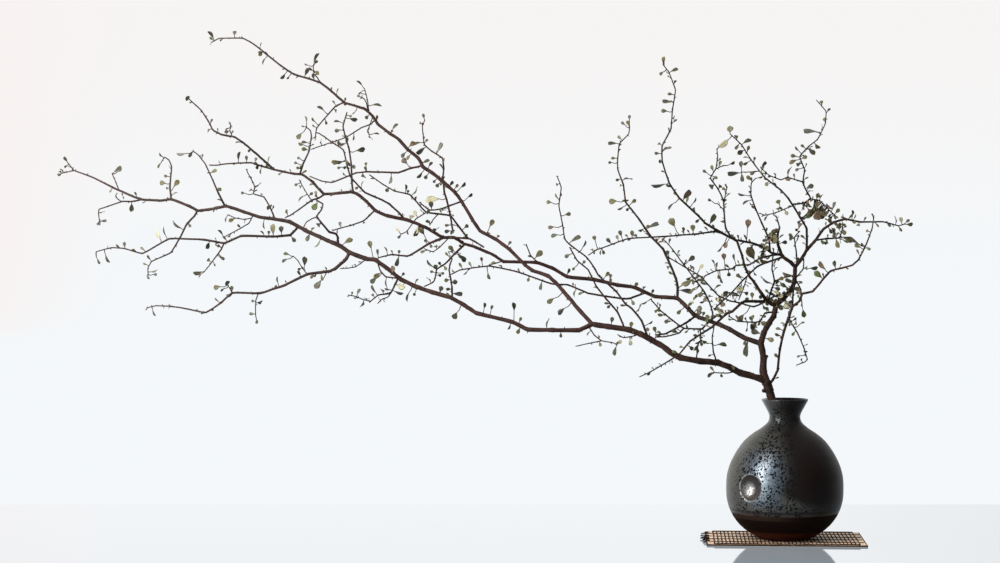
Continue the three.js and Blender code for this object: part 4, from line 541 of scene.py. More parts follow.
# %% The leaves as they are seen
LEAVES = {
  "dark": [
    [-45.5, 254, 5, 2], [-11.8, 330.3, 6, 4], [-29, 293.5, 6, 4], [-8.8, 247.2, 6, 3], [-9.3, 303, 6, 4],
    [15.6, 298.6, 6, 4], [-22, 279.3, 6, 4], [-48.3, 238.6, 6, 3], [-47.6, 231, 15, 3],
    [34.9, 327.3, 8, 4], [16.7, 222, 4, 2], [20, 217.7, 4, 2], [24, 224.8, 10, 2], [-75, 236.4, 9, 4],
    [-90, 223, 4, 2], [-76.3, 199.2, 5, 3], [-88.5, 200, 12, 2], [-112.3, 339, 8, 5], [-97.7, 273, 5, 3],
    [-99.4, 310.6, 8, 5], [-67.3, 320.4, 5, 4], [-82.3, 331.2, 6, 2], [-85.7, 335.4, 6, 2],
    [-77.1, 313.2, 7, 2], [-80.6, 306.3, 7, 2], [-104.6, 237.7, 6, 3], [-112.3, 231.7, 6, 4],
    [-104.6, 227.4, 5, 3], [13.9, 373.2, 4, 3], [14.7, 446, 5, 3], [29.7, 425.5, 7, 5],
    [-0.7, 358.6, 6, 4], [7, 363, 6, 4], [-52, 415.2, 8, 2], [-47, 407.5, 8, 2], [43, 414.3, 8, 3],
    [4.6, 445, 11, 2], [-88.3, 425.5, 8, 6], [-96.4, 443.5, 5, 3], [-90.4, 409.2, 4, 3],
    [-77.1, 425.5, 4, 3], [-121.7, 374, 5, 3], [-61.8, 440.3, 14, 3], [-63, 453.3, 6, 3],
    [-52.7, 436.4, 10, 2], [-53.1, 452, 7, 4], [-108, 408.3, 7, 2], [-137.6, 402.3, 8, 2],
    [-105, 384.4, 5, 3], [-77.6, 350, 7, 2], [-61.7, 340.6, 7, 2], [-152, 426, 13, 3],
    [-148.5, 561.3, 5, 3], [-133.7, 565.2, 8, 3], [-138, 536.4, 5, 3], [-141, 528, 13, 2],
    [-145.2, 516.2, 6, 4], [-141.5, 470, 13, 2], [-153.8, 465.3, 5, 3], [146.6, 384, 5, 3],
    [81.5, 394, 6, 3], [59.6, 401, 13, 2], [82.3, 360.3, 9, 3], [92.6, 356, 5, 3], [102.9, 366.3, 5, 3],
    [-45.5, 480.5, 9, 4], [-58.2, 473.7, 8, 2], [-53.5, 466.8, 8, 5], [-25.7, 451.5, 8, 3],
    [31.4, 467.7, 9, 5], [33.7, 493.5, 20, 2], [13.8, 470.5, 6, 2], [15.7, 452, 6, 4], [-197, 399, 7, 2],
    [-200.8, 433.7, 5, 3], [-188.4, 436, 12, 3], [-210, 454.3, 4, 3], [-188.8, 398.2, 5, 3],
    [-159.6, 379.5, 14, 2], [-173, 372.7, 6, 3], [-197.5, 369.4, 6, 4], [-240.2, 356, 8, 2],
    [-218.1, 347.3, 5, 3], [-253, 363, 14, 2], [-266, 364, 5, 3], [-207.6, 265.4, 6, 4],
    [-161.5, 261.6, 6, 2], [-174, 279, 12, 3], [-168.2, 285.6, 7, 2], [-211.4, 281.8, 5, 3],
    [-253.2, 297, 8, 2], [-241.7, 334.6, 5, 3], [-259.4, 324, 6, 3], [-209.5, 317.8, 5, 3],
    [-169, 304.8, 6, 3], [-134, 263, 6, 4], [-204.5, 228.6, 9, 3], [-222.9, 246.2, 5, 3],
    [-194.6, 501.3, 5, 3], [-186.9, 508.5, 5, 3], [-206.5, 478, 12, 2], [-273.3, 437.5, 4, 3],
    [-277, 367, 7, 4], [-355.4, 370.3, 6, 4], [-385.6, 427, 7, 3], [-377.5, 414.5, 6, 3],
    [-382.3, 377.8, 5, 4], [-330.4, 357.8, 5, 3], [-364, 338, 5, 3], [-325, 281.8, 8, 4, -324.2, 264.5],
    [-352, 280.3, 5, 3], [-330.4, 256.8, 6, 2], [-285.8, 262, 11, 2], [-356, 318, 7, 3],
    [-293.4, 306.7, 9, 2], [-269, 247.2, 5, 3], [-441.8, 477.8, 8, 3], [-458.2, 463.4, 7, 4],
    [-468.2, 498, 8, 3], [-489.6, 524, 10, 3], [-490.3, 489.4, 6, 2], [-501.8, 508.6, 5, 4],
    [-498, 484, 8, 3], [-499.5, 493, 10, 2], [-503.3, 446.6, 6, 3], [-476.9, 421.7, 6, 4],
    [-454.3, 424, 7, 2], [-452.4, 419.3, 4, 3], [-438, 438.5, 8, 3], [-430.8, 437, 5, 4],
    [-431, 456, 8, 3], [-425.5, 452.5, 6, 3], [-420.7, 431.8, 4, 3], [-416.9, 427, 5, 4],
    [-400.1, 428.9, 6, 3], [-436, 468, 12, 3], [-433.7, 510, 5, 3], [-438, 501.8, 5, 3],
    [-424.6, 403.4, 7, 5], [-494.2, 312.7, 8, 5], [-479.5, 309, 10, 2], [-463.5, 297.5, 9, 3],
    [-494, 301.5, 10, 2], [-494.6, 295.4, 4, 3], [-502.3, 291.6, 8, 6], [-444.7, 296.4, 4, 3],
    [-458.2, 320.4, 4, 3], [-442.3, 312.7, 5, 2], [-413, 302.6, 6, 5], [-414.5, 319, 4, 3],
    [-414, 332.9, 5, 3], [-427, 314.5, 8, 2], [-398.2, 370.3, 10, 4], [-405.4, 371.8, 6, 4],
    [-425, 354.5, 5, 3], [-390.5, 343.4, 8, 2], [-431.3, 360.2, 4, 3], [-489, 346, 8, 2],
    [-464, 336, 12, 2], [-463, 347, 4, 3], [-524, 295, 5, 2], [-511.9, 299.8, 6, 3], [-519.6, 297.4, 4, 2],
    [-507, 283.5, 9, 3], [-517.7, 505.7, 8, 4], [-557, 520, 8, 3], [-511.4, 534, 4, 3],
    [-509, 539.8, 9, 2], [-505.7, 535.9, 8, 2], [-510, 550, 8, 2], [-535, 448.1, 4, 3],
    [-527.8, 448.1, 4, 3], [-586.3, 427.9, 4, 3], [-582.5, 425.2, 6, 4], [-581, 412, 8, 2],
    [-568.6, 416.4, 5, 3], [-560.4, 379.4, 7, 5], [-572.4, 364.6, 8, 4], [-505.2, 381.8, 4, 3],
    [-604.6, 374.2, 7, 5], [-619.4, 370.3, 4, 3], [-626, 379.5, 8, 2], [-598.3, 395.3, 6, 3],
    [-589.7, 362, 6, 4], [-576.7, 478.8, 6, 3], [-586.8, 453.8, 4, 3], [-583.4, 459.6, 4, 3],
    [-577, 498.5, 8, 2], [-565.7, 563.5, 6, 2], [-562.3, 574.8, 4, 3], [-602, 557, 7, 3],
    [-596, 555.8, 4, 2], [-621.8, 585.8, 4, 3], [-625.5, 576.5, 8, 2], [-660.2, 609.8, 5, 4],
    [-689.3, 597.8, 6, 3], [-688, 608, 9, 3], [-600.7, 337.2, 6, 3], [-576.2, 336.2, 9, 5, -575.3, 326.6],
    [-582.5, 326.6, 4, 3], [-582.5, 321.5, 6, 2], [-609.5, 313, 7, 2], [-550.8, 327.6, 5, 2],
    [-526, 329, 5, 2], [-715, 530.5, 9, 3], [-712.5, 526.5, 4, 2], [-692, 493, 6, 3],
    [-668.5, 496.5, 8, 3], [-669, 491.5, 6, 3], [-664.5, 500, 9, 2], [-646, 459, 6, 3], [-632, 449, 7, 2],
    [-629.5, 444, 6, 2], [-640, 430, 4, 3], [-641.5, 421.7, 6, 3], [-650.6, 417.8, 4, 3],
    [-632, 427, 9, 2], [-628, 416.8, 4, 3], [-710.6, 469.7, 4, 3], [-741.8, 423.6, 4, 3],
    [-744, 461, 4, 3], [-750.5, 451.5, 7, 2], [-730.5, 378.5, 12, 3], [-714.5, 379, 5, 3],
    [-745.5, 371, 10, 2], [-691.5, 355, 8, 3], [-692, 337.4, 5, 4], [-676.5, 340, 9, 2], [-677, 371, 7, 2],
    [-659, 372, 4, 3], [-671.3, 386.2, 6, 2], [-648, 384, 7, 2], [-668, 309, 9, 3], [-699, 274.8, 7, 3],
    [-739, 284, 4, 2], [-758, 274, 7, 2], [-766, 279.8, 7, 2], [-396, 270.5, 7, 6],
    [-630, 286.2, 8, 4], [-634, 264, 6, 3],
    [-862.5, 457.5, 7, 3], [-801, 446, 12, 3], [-796, 414.5, 9, 4], [-802.5, 415, 9, 2],
    [-783.5, 400.5, 8, 4], [-820, 394.2, 7, 2], [-822.5, 381.2, 4, 3], [-824.2, 336.5, 8, 2],
    [-814, 339, 9, 3], [-763, 339.5, 7, 2]],
  "olive": [
    [-7.5, 255, 6, 3], [-5.8, 279.7, 6, 4], [5.3, 274.6, 6, 4], [-5, 315, 6, 4], [3.6, 313.2, 6, 4],
    [-39.3, 295.2, 6, 4], [-38.8, 268.6, 6, 3], [14, 211, 4, 2], [-63.4, 208, 8, 3], [-140.6, 328.6, 6, 4],
    [-112.3, 299.5, 5, 3], [-71.1, 296, 10, 7], [-84, 279, 5, 4], [-55.7, 318.3, 6, 4],
    [-79.7, 317.5, 5, 3], [-100.3, 244.6, 6, 4], [-100.3, 237.7, 6, 3], [-15.3, 362, 11, 9],
    [-41, 345, 14, 9], [-43.5, 435.7, 6, 4], [27.6, 403, 7, 5], [37.9, 405, 8, 5], [36.2, 401.5, 7, 4],
    [45.6, 390.2, 7, 4], [51.6, 403, 8, 5], [53.3, 384.2, 7, 4], [50, 358, 6, 4], [-84, 436.6, 5, 3],
    [-74.1, 423, 4, 3], [-135.4, 382.6, 9, 7, -126.9, 372.3], [-110.6, 375.8, 7, 5], [-47.1, 453, 6, 3],
    [-87, 386, 11, 5], [-126.4, 343.6, 4, 3], [-146.6, 576.7, 7, 3], [-151, 477, 5, 3],
    [-137, 527.7, 4, 3], [134, 386, 9, 3], [150, 380, 7, 4], [82.3, 383.5, 7, 4], [69, 390, 8, 3],
    [66, 380, 6, 4], [62.6, 396, 6, 4], [54.9, 372.3, 6, 4], [87, 354.3, 7, 4], [99.5, 351, 5, 3],
    [99, 372.3, 4, 3], [21.2, 474, 5, 3], [10, 462.2, 6, 4], [9.2, 455.7, 8, 4], [22.6, 460.3, 6, 4],
    [-207, 407.8, 8, 6, -196, 408.2], [-181.6, 407.8, 6, 4], [-206.1, 459.6, 5, 3], [-197.5, 427, 5, 3],
    [-165.3, 377, 6, 4], [-183.6, 369, 6, 4], [-201.3, 364.6, 5, 3], [-228.7, 363.6, 5, 4],
    [-231.6, 350.2, 5, 3], [-260.4, 392.4, 6, 4], [-184.5, 259.7, 6, 4], [-156.2, 254, 6, 4],
    [-183, 286.6, 6, 3], [-253.6, 327, 4, 3], [-213.3, 320.2, 6, 4], [-154.8, 276, 5, 3],
    [-159, 299.5, 5, 3], [-178.8, 307.7, 6, 4], [-172, 297, 6, 4], [-143.5, 272, 6, 4], [-142, 264, 5, 4],
    [-127, 275, 6, 4], [-222, 236.6, 5, 3], [-188.4, 501.8, 6, 4], [-199, 484.5, 5, 3],
    [-273.8, 428, 4, 3], [-283.4, 406.8, 5, 4], [-352, 381.8, 8, 5], [-344.3, 366, 5, 3],
    [-295.4, 344.4, 9, 6], [-360.2, 282.7, 6, 3], [-317.5, 266, 5, 3], [-319.9, 252, 6, 4],
    [-281.5, 288.5, 8, 5, -269.9, 296.2], [-307.9, 314.4, 5, 3], [-452, 461, 6, 3], [-502.8, 452.4, 4, 3],
    [-506.2, 437.5, 9, 5], [-393.8, 426, 5, 3], [-458.2, 392.4, 5, 4], [-489.4, 319, 8, 5],
    [-403.4, 302.2, 6, 3], [-405.8, 313.2, 5, 4], [-411.1, 321.4, 4, 3], [-408, 328, 6, 3],
    [-423.6, 323.3, 4, 3], [-405.4, 379, 5, 3], [-436.1, 372.7, 9, 6, -428.4, 361.7],
    [-497.9, 356, 8, 5, -492.2, 341], [-538.8, 516.5, 6, 3], [-508.6, 533, 6, 5], [-534.5, 478, 8, 3],
    [-513.4, 424.1, 5, 3], [-562.8, 417.4, 5, 3], [-567.1, 375.1, 6, 3], [-614.6, 374.2, 10, 5],
    [-583, 486, 7, 5], [-583.9, 447.6, 4, 3], [-581, 476, 6, 3], [-618, 400, 9, 3], [-561.4, 560.9, 6, 5],
    [-556.1, 317, 8, 2], [-523.9, 360.7, 9, 5, -533, 356.4], [-642, 468.5, 5, 2], [-685.5, 444, 8, 3],
    [-678.5, 421.5, 7, 4], [-730.3, 429.4, 8, 5, -735.6, 419.8], [-747.1, 429.9, 6, 5],
    [-742.8, 438, 5, 3], [-705, 321.5, 9, 4], [-702, 319.5, 6, 2], [-682, 304.7, 7, 5],
    [-705, 276.4, 6, 3]],
  "green": [
    [-1.5, 260, 7, 4], [-1.5, 307.2, 6, 4], [-46, 297.4, 6, 4], [-46, 290, 6, 4], [39.6, 320, 9, 6],
    [22.5, 273, 8, 5], [-8, 407, 5, 5], [-8.4, 399.2, 5, 4], [44.7, 359.5, 7, 4], [-149.6, 455.5, 5, 4],
    [-449, 412.1, 7, 4], [-418.8, 328.6, 8, 5], [-563.8, 402, 8, 6], [-576.2, 470.2, 6, 4],
    [-628.6, 584.4, 6, 4], [-598.3, 344.9, 6, 3]],
  "brown": [
    [-53, 267.7, 9, 6, -42.7, 277.6], [-35.4, 302.9, 8, 5], [43.9, 330.3, 10, 4], [-73.3, 341.4, 7, 5],
    [-111.4, 329.5, 8, 5], [-60.4, 327, 6, 4], [-44.4, 381, 9, 6, -46, 362], [17.3, 379, 12, 6],
    [2.7, 435, 8, 5], [29.3, 394.6, 8, 5], [41.3, 392.8, 14, 9], [-118.3, 414.3, 13, 5],
    [-97.7, 385.2, 7, 6], [-71.1, 356, 7, 4], [-132.7, 507.6, 6, 6], [38.8, 473.2, 8, 4],
    [-191.2, 409.7, 8, 7], [-165.8, 254, 6, 4], [-281, 376.6, 6, 4], [-447.6, 476.4, 7, 5],
    [-456.7, 456.2, 7, 6, -448.6, 449], [-471.6, 492.2, 4, 3], [-468.7, 487.4, 8, 5],
    [-471.6, 326.2, 11, 5], [-478.3, 298.3, 6, 4], [-614.2, 304.6, 11, 6], [-683, 355, 6, 3],
    [-679, 354, 4, 3]],
  "grey": [
    [-35.4, 251, 9, 6], [-24.3, 312, 14, 3], [2.7, 319.2, 10, 3], [59.3, 332.5, 7, 4], [25.5, 327.7, 6, 4],
    [-118.9, 301.3, 15, 3], [-103, 277.2, 9, 5], [-261.3, 342.5, 6, 4], [-269, 276, 9, 5],
    [-472.6, 433.7, 9, 3], [-417.4, 467.3, 4, 3], [-414, 472, 12, 3], [-463, 366, 6, 2],
    [-482.6, 301.2, 8, 4], [-453.5, 293.5, 9, 2], [-397.2, 310.8, 8, 5], [-393.3, 297.5, 12, 3],
    [-426.5, 332, 10, 2], [-478.3, 350, 7, 2], [-536.9, 492.7, 6, 4], [-541, 526.5, 5, 2],
    [-537, 504, 7, 2], [-521.5, 510, 4, 3], [-515, 515, 9, 2], [-533.5, 379.9, 7, 3], [-557, 479, 7, 2],
    [-566, 505, 6, 2], [-574, 506, 7, 2], [-574.5, 563.3, 9, 3], [-574.3, 571.4, 4, 2],
    [-563.5, 580, 11, 2], [-564.5, 574.5, 5, 2], [-560.4, 307.9, 10, 6, -549, 320], [-560, 356.5, 9, 2],
    [-656, 462, 9, 2], [-635, 458, 4, 3], [-713.5, 464.4, 7, 2], [-724, 464, 9, 3], [-749, 463, 6, 2],
    [-675, 302, 5, 2], [-638.5, 288.2, 4, 3], [-640, 273, 6, 3], [-863, 449.7, 4, 2],
    [-869.5, 443.5, 5, 3], [-871, 440.5, 6, 2], [-798, 444.5, 5, 2], [-809, 420.5, 4, 2],
    [-818.5, 384, 7, 2], [-824.5, 381.5, 4, 2], [-812.8, 352.6, 6, 2], [-764.5, 318, 9, 3],
    [-757, 323.5, 8, 2], [-756, 320, 4, 3]],
  "pale": [
    [-17.8, 242, 8, 5], [2.7, 281.5, 6, 4], [-108, 317.5, 12, 6], [-117.4, 309.7, 12, 6], [-96, 290, 6, 4],
    [-55.7, 303.7, 12, 6], [-83.1, 300.3, 6, 4], [-77.1, 274.6, 8, 7], [1, 394.6, 6, 4], [-22, 429, 6, 4],
    [49, 392.8, 7, 4], [139, 385.2, 6, 4], [88.3, 379.2, 6, 4], [-66.5, 493.5, 8, 7], [-72, 478, 9, 6],
    [-77, 474, 8, 5], [-199, 238.6, 6, 4], [-185.5, 238.5, 6, 4], [-443, 420, 11, 2],
    [-423.6, 410.6, 14, 7, -409.2, 410.2], [-410.2, 396.2, 11, 7], [-443.8, 393.4, 6, 4],
    [-464.9, 373.7, 5, 3], [-462, 306, 11, 6], [-752, 367, 9, 4]],
}
print("listed leaves", sum(len(rows) for rows in LEAVES.values()))

# %% [markdown]
# A run's seen line becomes a line in space once its depths are known. Its root takes the depth of the wood
# that it grows from, so that no twig starts in the air. How deep the boughs reach can't be seen from the
# front, so the depths are a guess at how such a bush spreads.

# %% Lines in space
THINNEST_SOLID = 1.2
CORNER_REACH = 1.3


def spread(values, t):
    at = t * (len(values) - 1)
    low = min(int(at), len(values) - 2)
    return values[low] + (values[low + 1] - values[low]) * (at - low)


def nearest_on(run, x, z):
    best = (math.inf, None)
    for a, b in zip(run["seen"], run["seen"][1:]):
        dx, dz = b.x - a.x, b.z - a.z
        t = min(max(((x - a.x) * dx + (z - a.z) * dz) / (dx * dx + dz * dz), 0), 1)
        point = a.lerp(b, t)
        best = min(best, (math.hypot(point.x - x, point.z - z), point), key=lambda found: found[0])
    return best


runs = {}


def read_run(node, name, on, thick, depth, line):
    seen = [Vector((x, 0, z)) for x, z in line]
    depths = list(depth)
    if on:
        seen[0] = nearest_on(runs[on], seen[0].x, seen[0].z)[1].copy()
        depths[0] = seen[0].y
    lengths = [0.0]
    for a, b in zip(seen, seen[1:]):
        lengths.append(lengths[-1] + math.hypot(b.x - a.x, b.z - a.z))
    for point, length in zip(seen, lengths):
        point.y = spread(depths, length / lengths[-1])
    radii = [spread(thick, length / lengths[-1]) / 2 for length in lengths]
    runs[name] = {"node": node, "seen": seen, "radii": radii}


for node, rows in BRANCH.items():
    for row in rows:
        read_run(node, *row)
segments = [(run["node"], a, b, max(ra, rb, THINNEST_SOLID / 2) * CORNER_REACH) for run in runs.values()
            for a, b, ra, rb in zip(run["seen"], run["seen"][1:], run["radii"], run["radii"][1:])]
print("runs", len(runs), "segments", len(segments))

# %% [markdown]
# A leaf of this bush is a small spoon on a stalk as thin as thread. Each blade hangs on the nearest run, by a
# stalk as long as its size asks for. It could be left in the plane that it is seen in, but then the spray is
# flat from the side, so it leans to the front or back. Which way is worked out from its place.

# %% One leaf
LEAF_GROWTH = 1.2
LEAF_PROPORTION = 0.62
LEAST_STALK = 1.5
LEAN_SCATTER = 1.5
SHORTEST_SIDE = 0.1
LEAF_SAMPLES = (0.25, 0.5, 0.75, 1)
SCATTER_STEPS = (12.9898, 78.233, 37.719)
SCATTER_SIZE = 43758.5453


def scatter(x, z, channel):
    across_step, up_step, channel_step = SCATTER_STEPS
    value = math.sin(x * across_step + z * up_step + channel * channel_step) * SCATTER_SIZE
    return value - math.floor(value)


def coin(x, z, channel):
    return -1 if scatter(x, z, channel) < 0.5 else 1


def blade_for(row, stretch, flip):
    x, z = row[:2]
    length, width = (size * LEAF_GROWTH for size in row[2:4])
    spot = row[4:] or (x, z)
    (_, root), node = min(((nearest_on(run, *spot), run["node"]) for run in runs.values()),
                          key=lambda found: found[0][0])
    apart = math.hypot(root.x - x, root.z - z)
    reach = max(apart, LEAF_PROPORTION * length + LEAST_STALK) * stretch
    lean = math.sqrt(max(reach * reach - apart * apart, 0)) + scatter(x, z, 2) * LEAN_SCATTER
    middle = Vector((x, root.y + coin(x, z, 1) * flip * lean, z))
    along = (middle - root).normalized()
    tip = middle + along * length / 2
    full_width = max(width, LEAF_PROPORTION * length)
    side = along.cross(Vector((0, 1, 0)))
    if side.length < SHORTEST_SIDE:
        side = Vector((1, 0, 0))
    turn = math.acos(min(1, width / full_width)) * coin(x, z, 3)
    side = Matrix.Rotation(turn, 3, along) @ side.normalized()
    samples = [root.lerp(tip, t) for t in LEAF_SAMPLES]
    return {"node": node, "root": root, "middle": middle, "along": along, "length": length,
            "width": full_width, "side": side, "samples": samples, "half": full_width / 2}


trial = blade_for(LEAVES["dark"][0], 1, 1)
print("first leaf", round(trial["length"], 1), "mm long, on", trial["node"])

# %% [markdown]
# A large leaf could lean into a bough in front of it or behind it. Real leaves push past each other, so each
# one tries its lean to either side, and then a longer stalk, until it stands clear of the other boughs and
# of their leaves. If nothing helps, it is left out.

# %% Leaves that stand clear
LEAF_CLEARANCE = 0.4
CAREFUL_LEAF = 8
LEAF_TRIES = ((1, 1), (1, -1), (1.3, 1), (1.3, -1), (1.6, 1), (1.6, -1))
blades = []


def gap_to_others(blade):
    gap = math.inf
    for sample in blade["samples"]:
        for node, a, b, radius in segments:
            if node != blade["node"]:
                near, t = intersect_point_line(sample, a, b)
                near = a.lerp(b, min(max(t, 0), 1))
                gap = min(gap, (near - sample).length - radius - blade["half"])
        for other in blades:
            if other["node"] != blade["node"]:
                space = min((theirs - sample).length for theirs in other["samples"])
                gap = min(gap, space - blade["half"] - other["half"])
    return gap


for tone, rows in LEAVES.items():
    for row in rows:
        if row[2] < CAREFUL_LEAF:
            blade = blade_for(row, 1, 1)
        else:
            choices = (blade_for(row, *choice) for choice in LEAF_TRIES)
            blade = next((choice for choice in choices if gap_to_others(choice) > LEAF_CLEARANCE), None)
        if blade:
            blade["tone"] = tone
            blades.append(blade)
print("leaves", len(blades))

# %% [markdown]
# Only the leaves that stand clear can be listed from the front. The real twigs carry more: short shoots and
# small leaves all along, close together in the crown. They are scattered here along the thin runs, each with
# its own size, lean and tone, from a seed, so that every build gives the same branch.

# %% Small leaves along the twigs
TWIG_RADIUS = 1.7
LOWEST_SHOOT = 190
SHOOT_PITCH = 5
LEAST_PITCH = 0.6
PITCH_SPREAD = 0.8
SHOOT_SIZES = (3.4, 8)
SHOOT_WIDTHS = (0.3, 0.62)
SHOOT_STALK = 1.2
SHOOT_TURN = 1.2
TOWARD_TIP = 0.6
TOWARD_LIGHT = Vector((0, 0, 0.35))
NEARLY_BACK = Vector((0, 1, 0.01))
CROWDED = {"trunk": 0.5, "left_arm": 0.55, "left_risers": 0.42, "crown_left": 0.6, "crown_right": 0.55,
           "right_stem": 0.35}
ELSEWHERE = 0.2
TONE_SHARES = ("dark", "dark", "olive", "olive", "olive", "green", "grey", "brown", "brown")
shoots = random.Random(5)


def shoot_leaf(node, spot, forward):
    turned = Matrix.Rotation(shoots.uniform(0, math.tau), 3, forward.normalized())
    out = turned @ forward.orthogonal().normalized()
    along = (out + TOWARD_TIP * forward.normalized() + TOWARD_LIGHT).normalized()
    size = shoots.uniform(*SHOOT_SIZES)
    middle = spot + along * (LEAF_PROPORTION * size + SHOOT_STALK)
    turn = Matrix.Rotation(shoots.uniform(-SHOOT_TURN, SHOOT_TURN), 3, along)
    side = (turn @ along.cross(NEARLY_BACK)).normalized()
    return {"node": node, "root": spot, "middle": middle, "along": along, "length": size,
            "width": size * shoots.uniform(*SHOOT_WIDTHS), "side": side, "tone": shoots.choice(TONE_SHARES)}


for run in runs.values():
    share = CROWDED.get(run["node"], ELSEWHERE)
    since = 0
    for a, b, radius in zip(run["seen"], run["seen"][1:], run["radii"]):
        length = (b - a).length
        while since < length:
            spot = a.lerp(b, since / length)
            since += SHOOT_PITCH * (LEAST_PITCH + PITCH_SPREAD * shoots.random())
            if radius > TWIG_RADIUS or shoots.random() > share or spot.z < LOWEST_SHOOT:
                continue
            blades.append(shoot_leaf(run["node"], spot, b - a))
        since -= length
print("with the small ones", len(blades))

# %% [markdown]
# In the crown the shoots end in tufts, where a dozen leaves or more overlap and can't be told apart. To list
# them one by one would be guesswork. Each tuft is given instead by its middle (x, z), how far it spreads,
# how many leaves it has and in which tones, and its leaves are drawn round that middle.

# %% Bunches of leaves
TUFT_SIZES = (4.5, 9.5)
TUFT_WIDTHS = (0.2, 0.62)
TUFT_TIGHTNESS = 0.6
BUNCHES = (((33, 398), 12, 36, ("olive", "brown", "brown", "dark", "green")),
           ((58, 381), 12, 16, ("olive", "dark", "green")),
           ((66, 362), 9, 8, ("olive", "green")),
           ((-17, 366), 8, 14, ("olive", "brown", "brown")),
           ((-29, 350), 10, 20, ("olive", "brown", "olive", "dark")),
           ((-106, 314), 10, 13, ("pale", "pale", "olive")),
           ((-79, 286), 10, 20, ("pale", "pale", "olive", "brown")),
           ((-10, 286), 11, 16, ("dark", "dark", "olive")),
           ((0, 296), 10, 12, ("dark", "olive", "pale")),
           ((4, 283), 6, 8, ("pale", "olive")),
           ((-104, 282), 13, 12, ("pale", "olive", "dark")),
           ((-56, 300), 10, 10, ("olive", "grey", "dark")),
           ((-3, 310), 11, 14, ("dark", "olive", "olive")),
           ((-27, 262), 12, 10, ("dark", "grey", "olive")),
           ((-103, 240), 11, 9, ("olive", "dark")),
           ((10, 262), 7, 6, ("olive", "pale")),
           ((-430, 374), 16, 12, ("dark", "olive", "pale")),
           ((-525, 455), 14, 10, ("dark", "olive")),
           ((-398, 345), 12, 8, ("olive", "dark")))
bunching = random.Random(23)

for (middle_x, middle_z), reach, count, tones in BUNCHES:
    for leaf in range(count):
        length = bunching.uniform(*TUFT_SIZES)
        x = middle_x + bunching.gauss(0, reach * TUFT_TIGHTNESS)
        z = middle_z + bunching.gauss(0, reach * TUFT_TIGHTNESS)
        row = (x, z, length, length * bunching.uniform(*TUFT_WIDTHS))
        blade = blade_for(row, 1, bunching.choice((-1, 1)))
        blade["tone"] = bunching.choice(tones)
        blades.append(blade)
print("with the bunches", len(blades))

# %% [markdown]
# The twigs of this bush are never quite straight. They turn a little from bud to bud, and are slightly
# swollen at each joint. Noise on the finished mesh would blur the thin ones, so the lines themselves get
# extra points, on a cubic through the listed ones, that wander and swell.

# %% Bends and joints
CORNER = 0.15
KNOT = 0.16
AT_A_JOINT = (1.06, 0.3)
BETWEEN_JOINTS = (1, 0.6)
WANDER = 0.3
TIP_TAPER = 0.75
BARK_GROWTH = 0.22
STEPS = 4
chance = random.Random(11)


def rounded(points, radii):
    out = []
    for i in range(len(points) - 1):
        a, b = points[i], points[i + 1]
        before = points[i - 1] if i else a
        after = points[i + 2] if i + 2 < len(points) else b
        reach = (b - a).length
        leave = (b - before).normalized() * reach * CORNER * 2
        arrive = (after - a).normalized() * reach * CORNER * 2
        for k in range(STEPS):
            t = k / STEPS
            bend = (2 * t**3 - 3 * t**2 + 1) * a + (t**3 - 2 * t**2 + t) * leave
            bend += (3 * t**2 - 2 * t**3) * b + (t**3 - t**2) * arrive
            radius = radii[i] + (radii[i + 1] - radii[i]) * t
            girth, least = AT_A_JOINT if k == 0 else BETWEEN_JOINTS
            swell = girth + KNOT * (chance.random() - least)
            if i or k:
                bend += Vector([WANDER * math.sqrt(radius) * (chance.random() - 0.5) for axis in range(3)])
            out.append((bend, radius * swell + BARK_GROWTH))
    out.append((points[-1], radii[-1] * TIP_TAPER + BARK_GROWTH))
    return out


metres_of_wood = sum((b - a).length for node, a, b, radius in segments) * MM
print("metres of wood", round(metres_of_wood, 2))

# %% [markdown]
# The wood is rough with short blunt spurs, where leaves and shoots have dropped off. They could be listed,
# but they are too small to be told apart, so they are drawn by chance: one about every centimetre, on any
# side, and pointing a little towards the tip.

# %% Spurs
SPUR_PITCH = 12
SPUR_WOOD = 3.4
SPUR_REACH = (0.7, 2.4)
SPUR_LEAN = 0.8
SPUR_RADII = (0.7, 0.52, 0.36)
SPUR_SHOULDER = 0.7


def spurs_on(run):
    spurs = []
    for a, b, radius in zip(run["seen"], run["seen"][1:], run["radii"]):
        along = (b - a).normalized()
        for k in range(int((b - a).length / SPUR_PITCH + chance.random())):
            root = a.lerp(b, chance.random())
            out = Matrix.Rotation(chance.uniform(0, math.tau), 3, along) @ along.orthogonal().normalized()
            reach = min(radius, SPUR_WOOD) + chance.uniform(*SPUR_REACH)
            tip = root + (out + along * chance.uniform(0, SPUR_LEAN)).normalized() * reach
            spurs.append(list(zip((root, root.lerp(tip, SPUR_SHOULDER), tip), SPUR_RADII)))
    return spurs


print("spurs, about", round(metres_of_wood / MM / SPUR_PITCH))

# %% [markdown]
# Wood could be made with the Skin modifier, but on forks as close as these it pinches. A curve with a round
# bevel and a radius at each point gives clean tapering limbs instead. Lines go into a curve, the curve is
# made a mesh, and the mesh becomes a piece. The threads of the mat are made in the same way.

# %% From lines to pieces
nodes = list(dict.fromkeys(run["node"] for run in runs.values()))


def new_curve(name, roundness, materials):
    curve = bpy.data.curves.new(name, "CURVE")
    curve.dimensions = "3D"
    curve.bevel_depth = 1
    curve.bevel_resolution = roundness
    curve.use_fill_caps = True
    for material in materials:
        curve.materials.append(material)
    return curve


def add_line(curve, line, material_index, to_frame):
    spline = curve.splines.new("POLY")
    spline.points.add(len(line) - 1)
    for point, (spot, radius) in zip(spline.points, line):
        point.co = (*to_frame(spot), 1)
        point.radius = radius * MM
    spline.material_index = material_index
    spline.use_smooth = True


def mesh_piece(name, mesh):
    piece = bpy.data.objects.new(name, mesh)
    bpy.context.scene.collection.objects.link(piece)
    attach(piece, "root")
    print(name, len(mesh.polygons))
    return piece


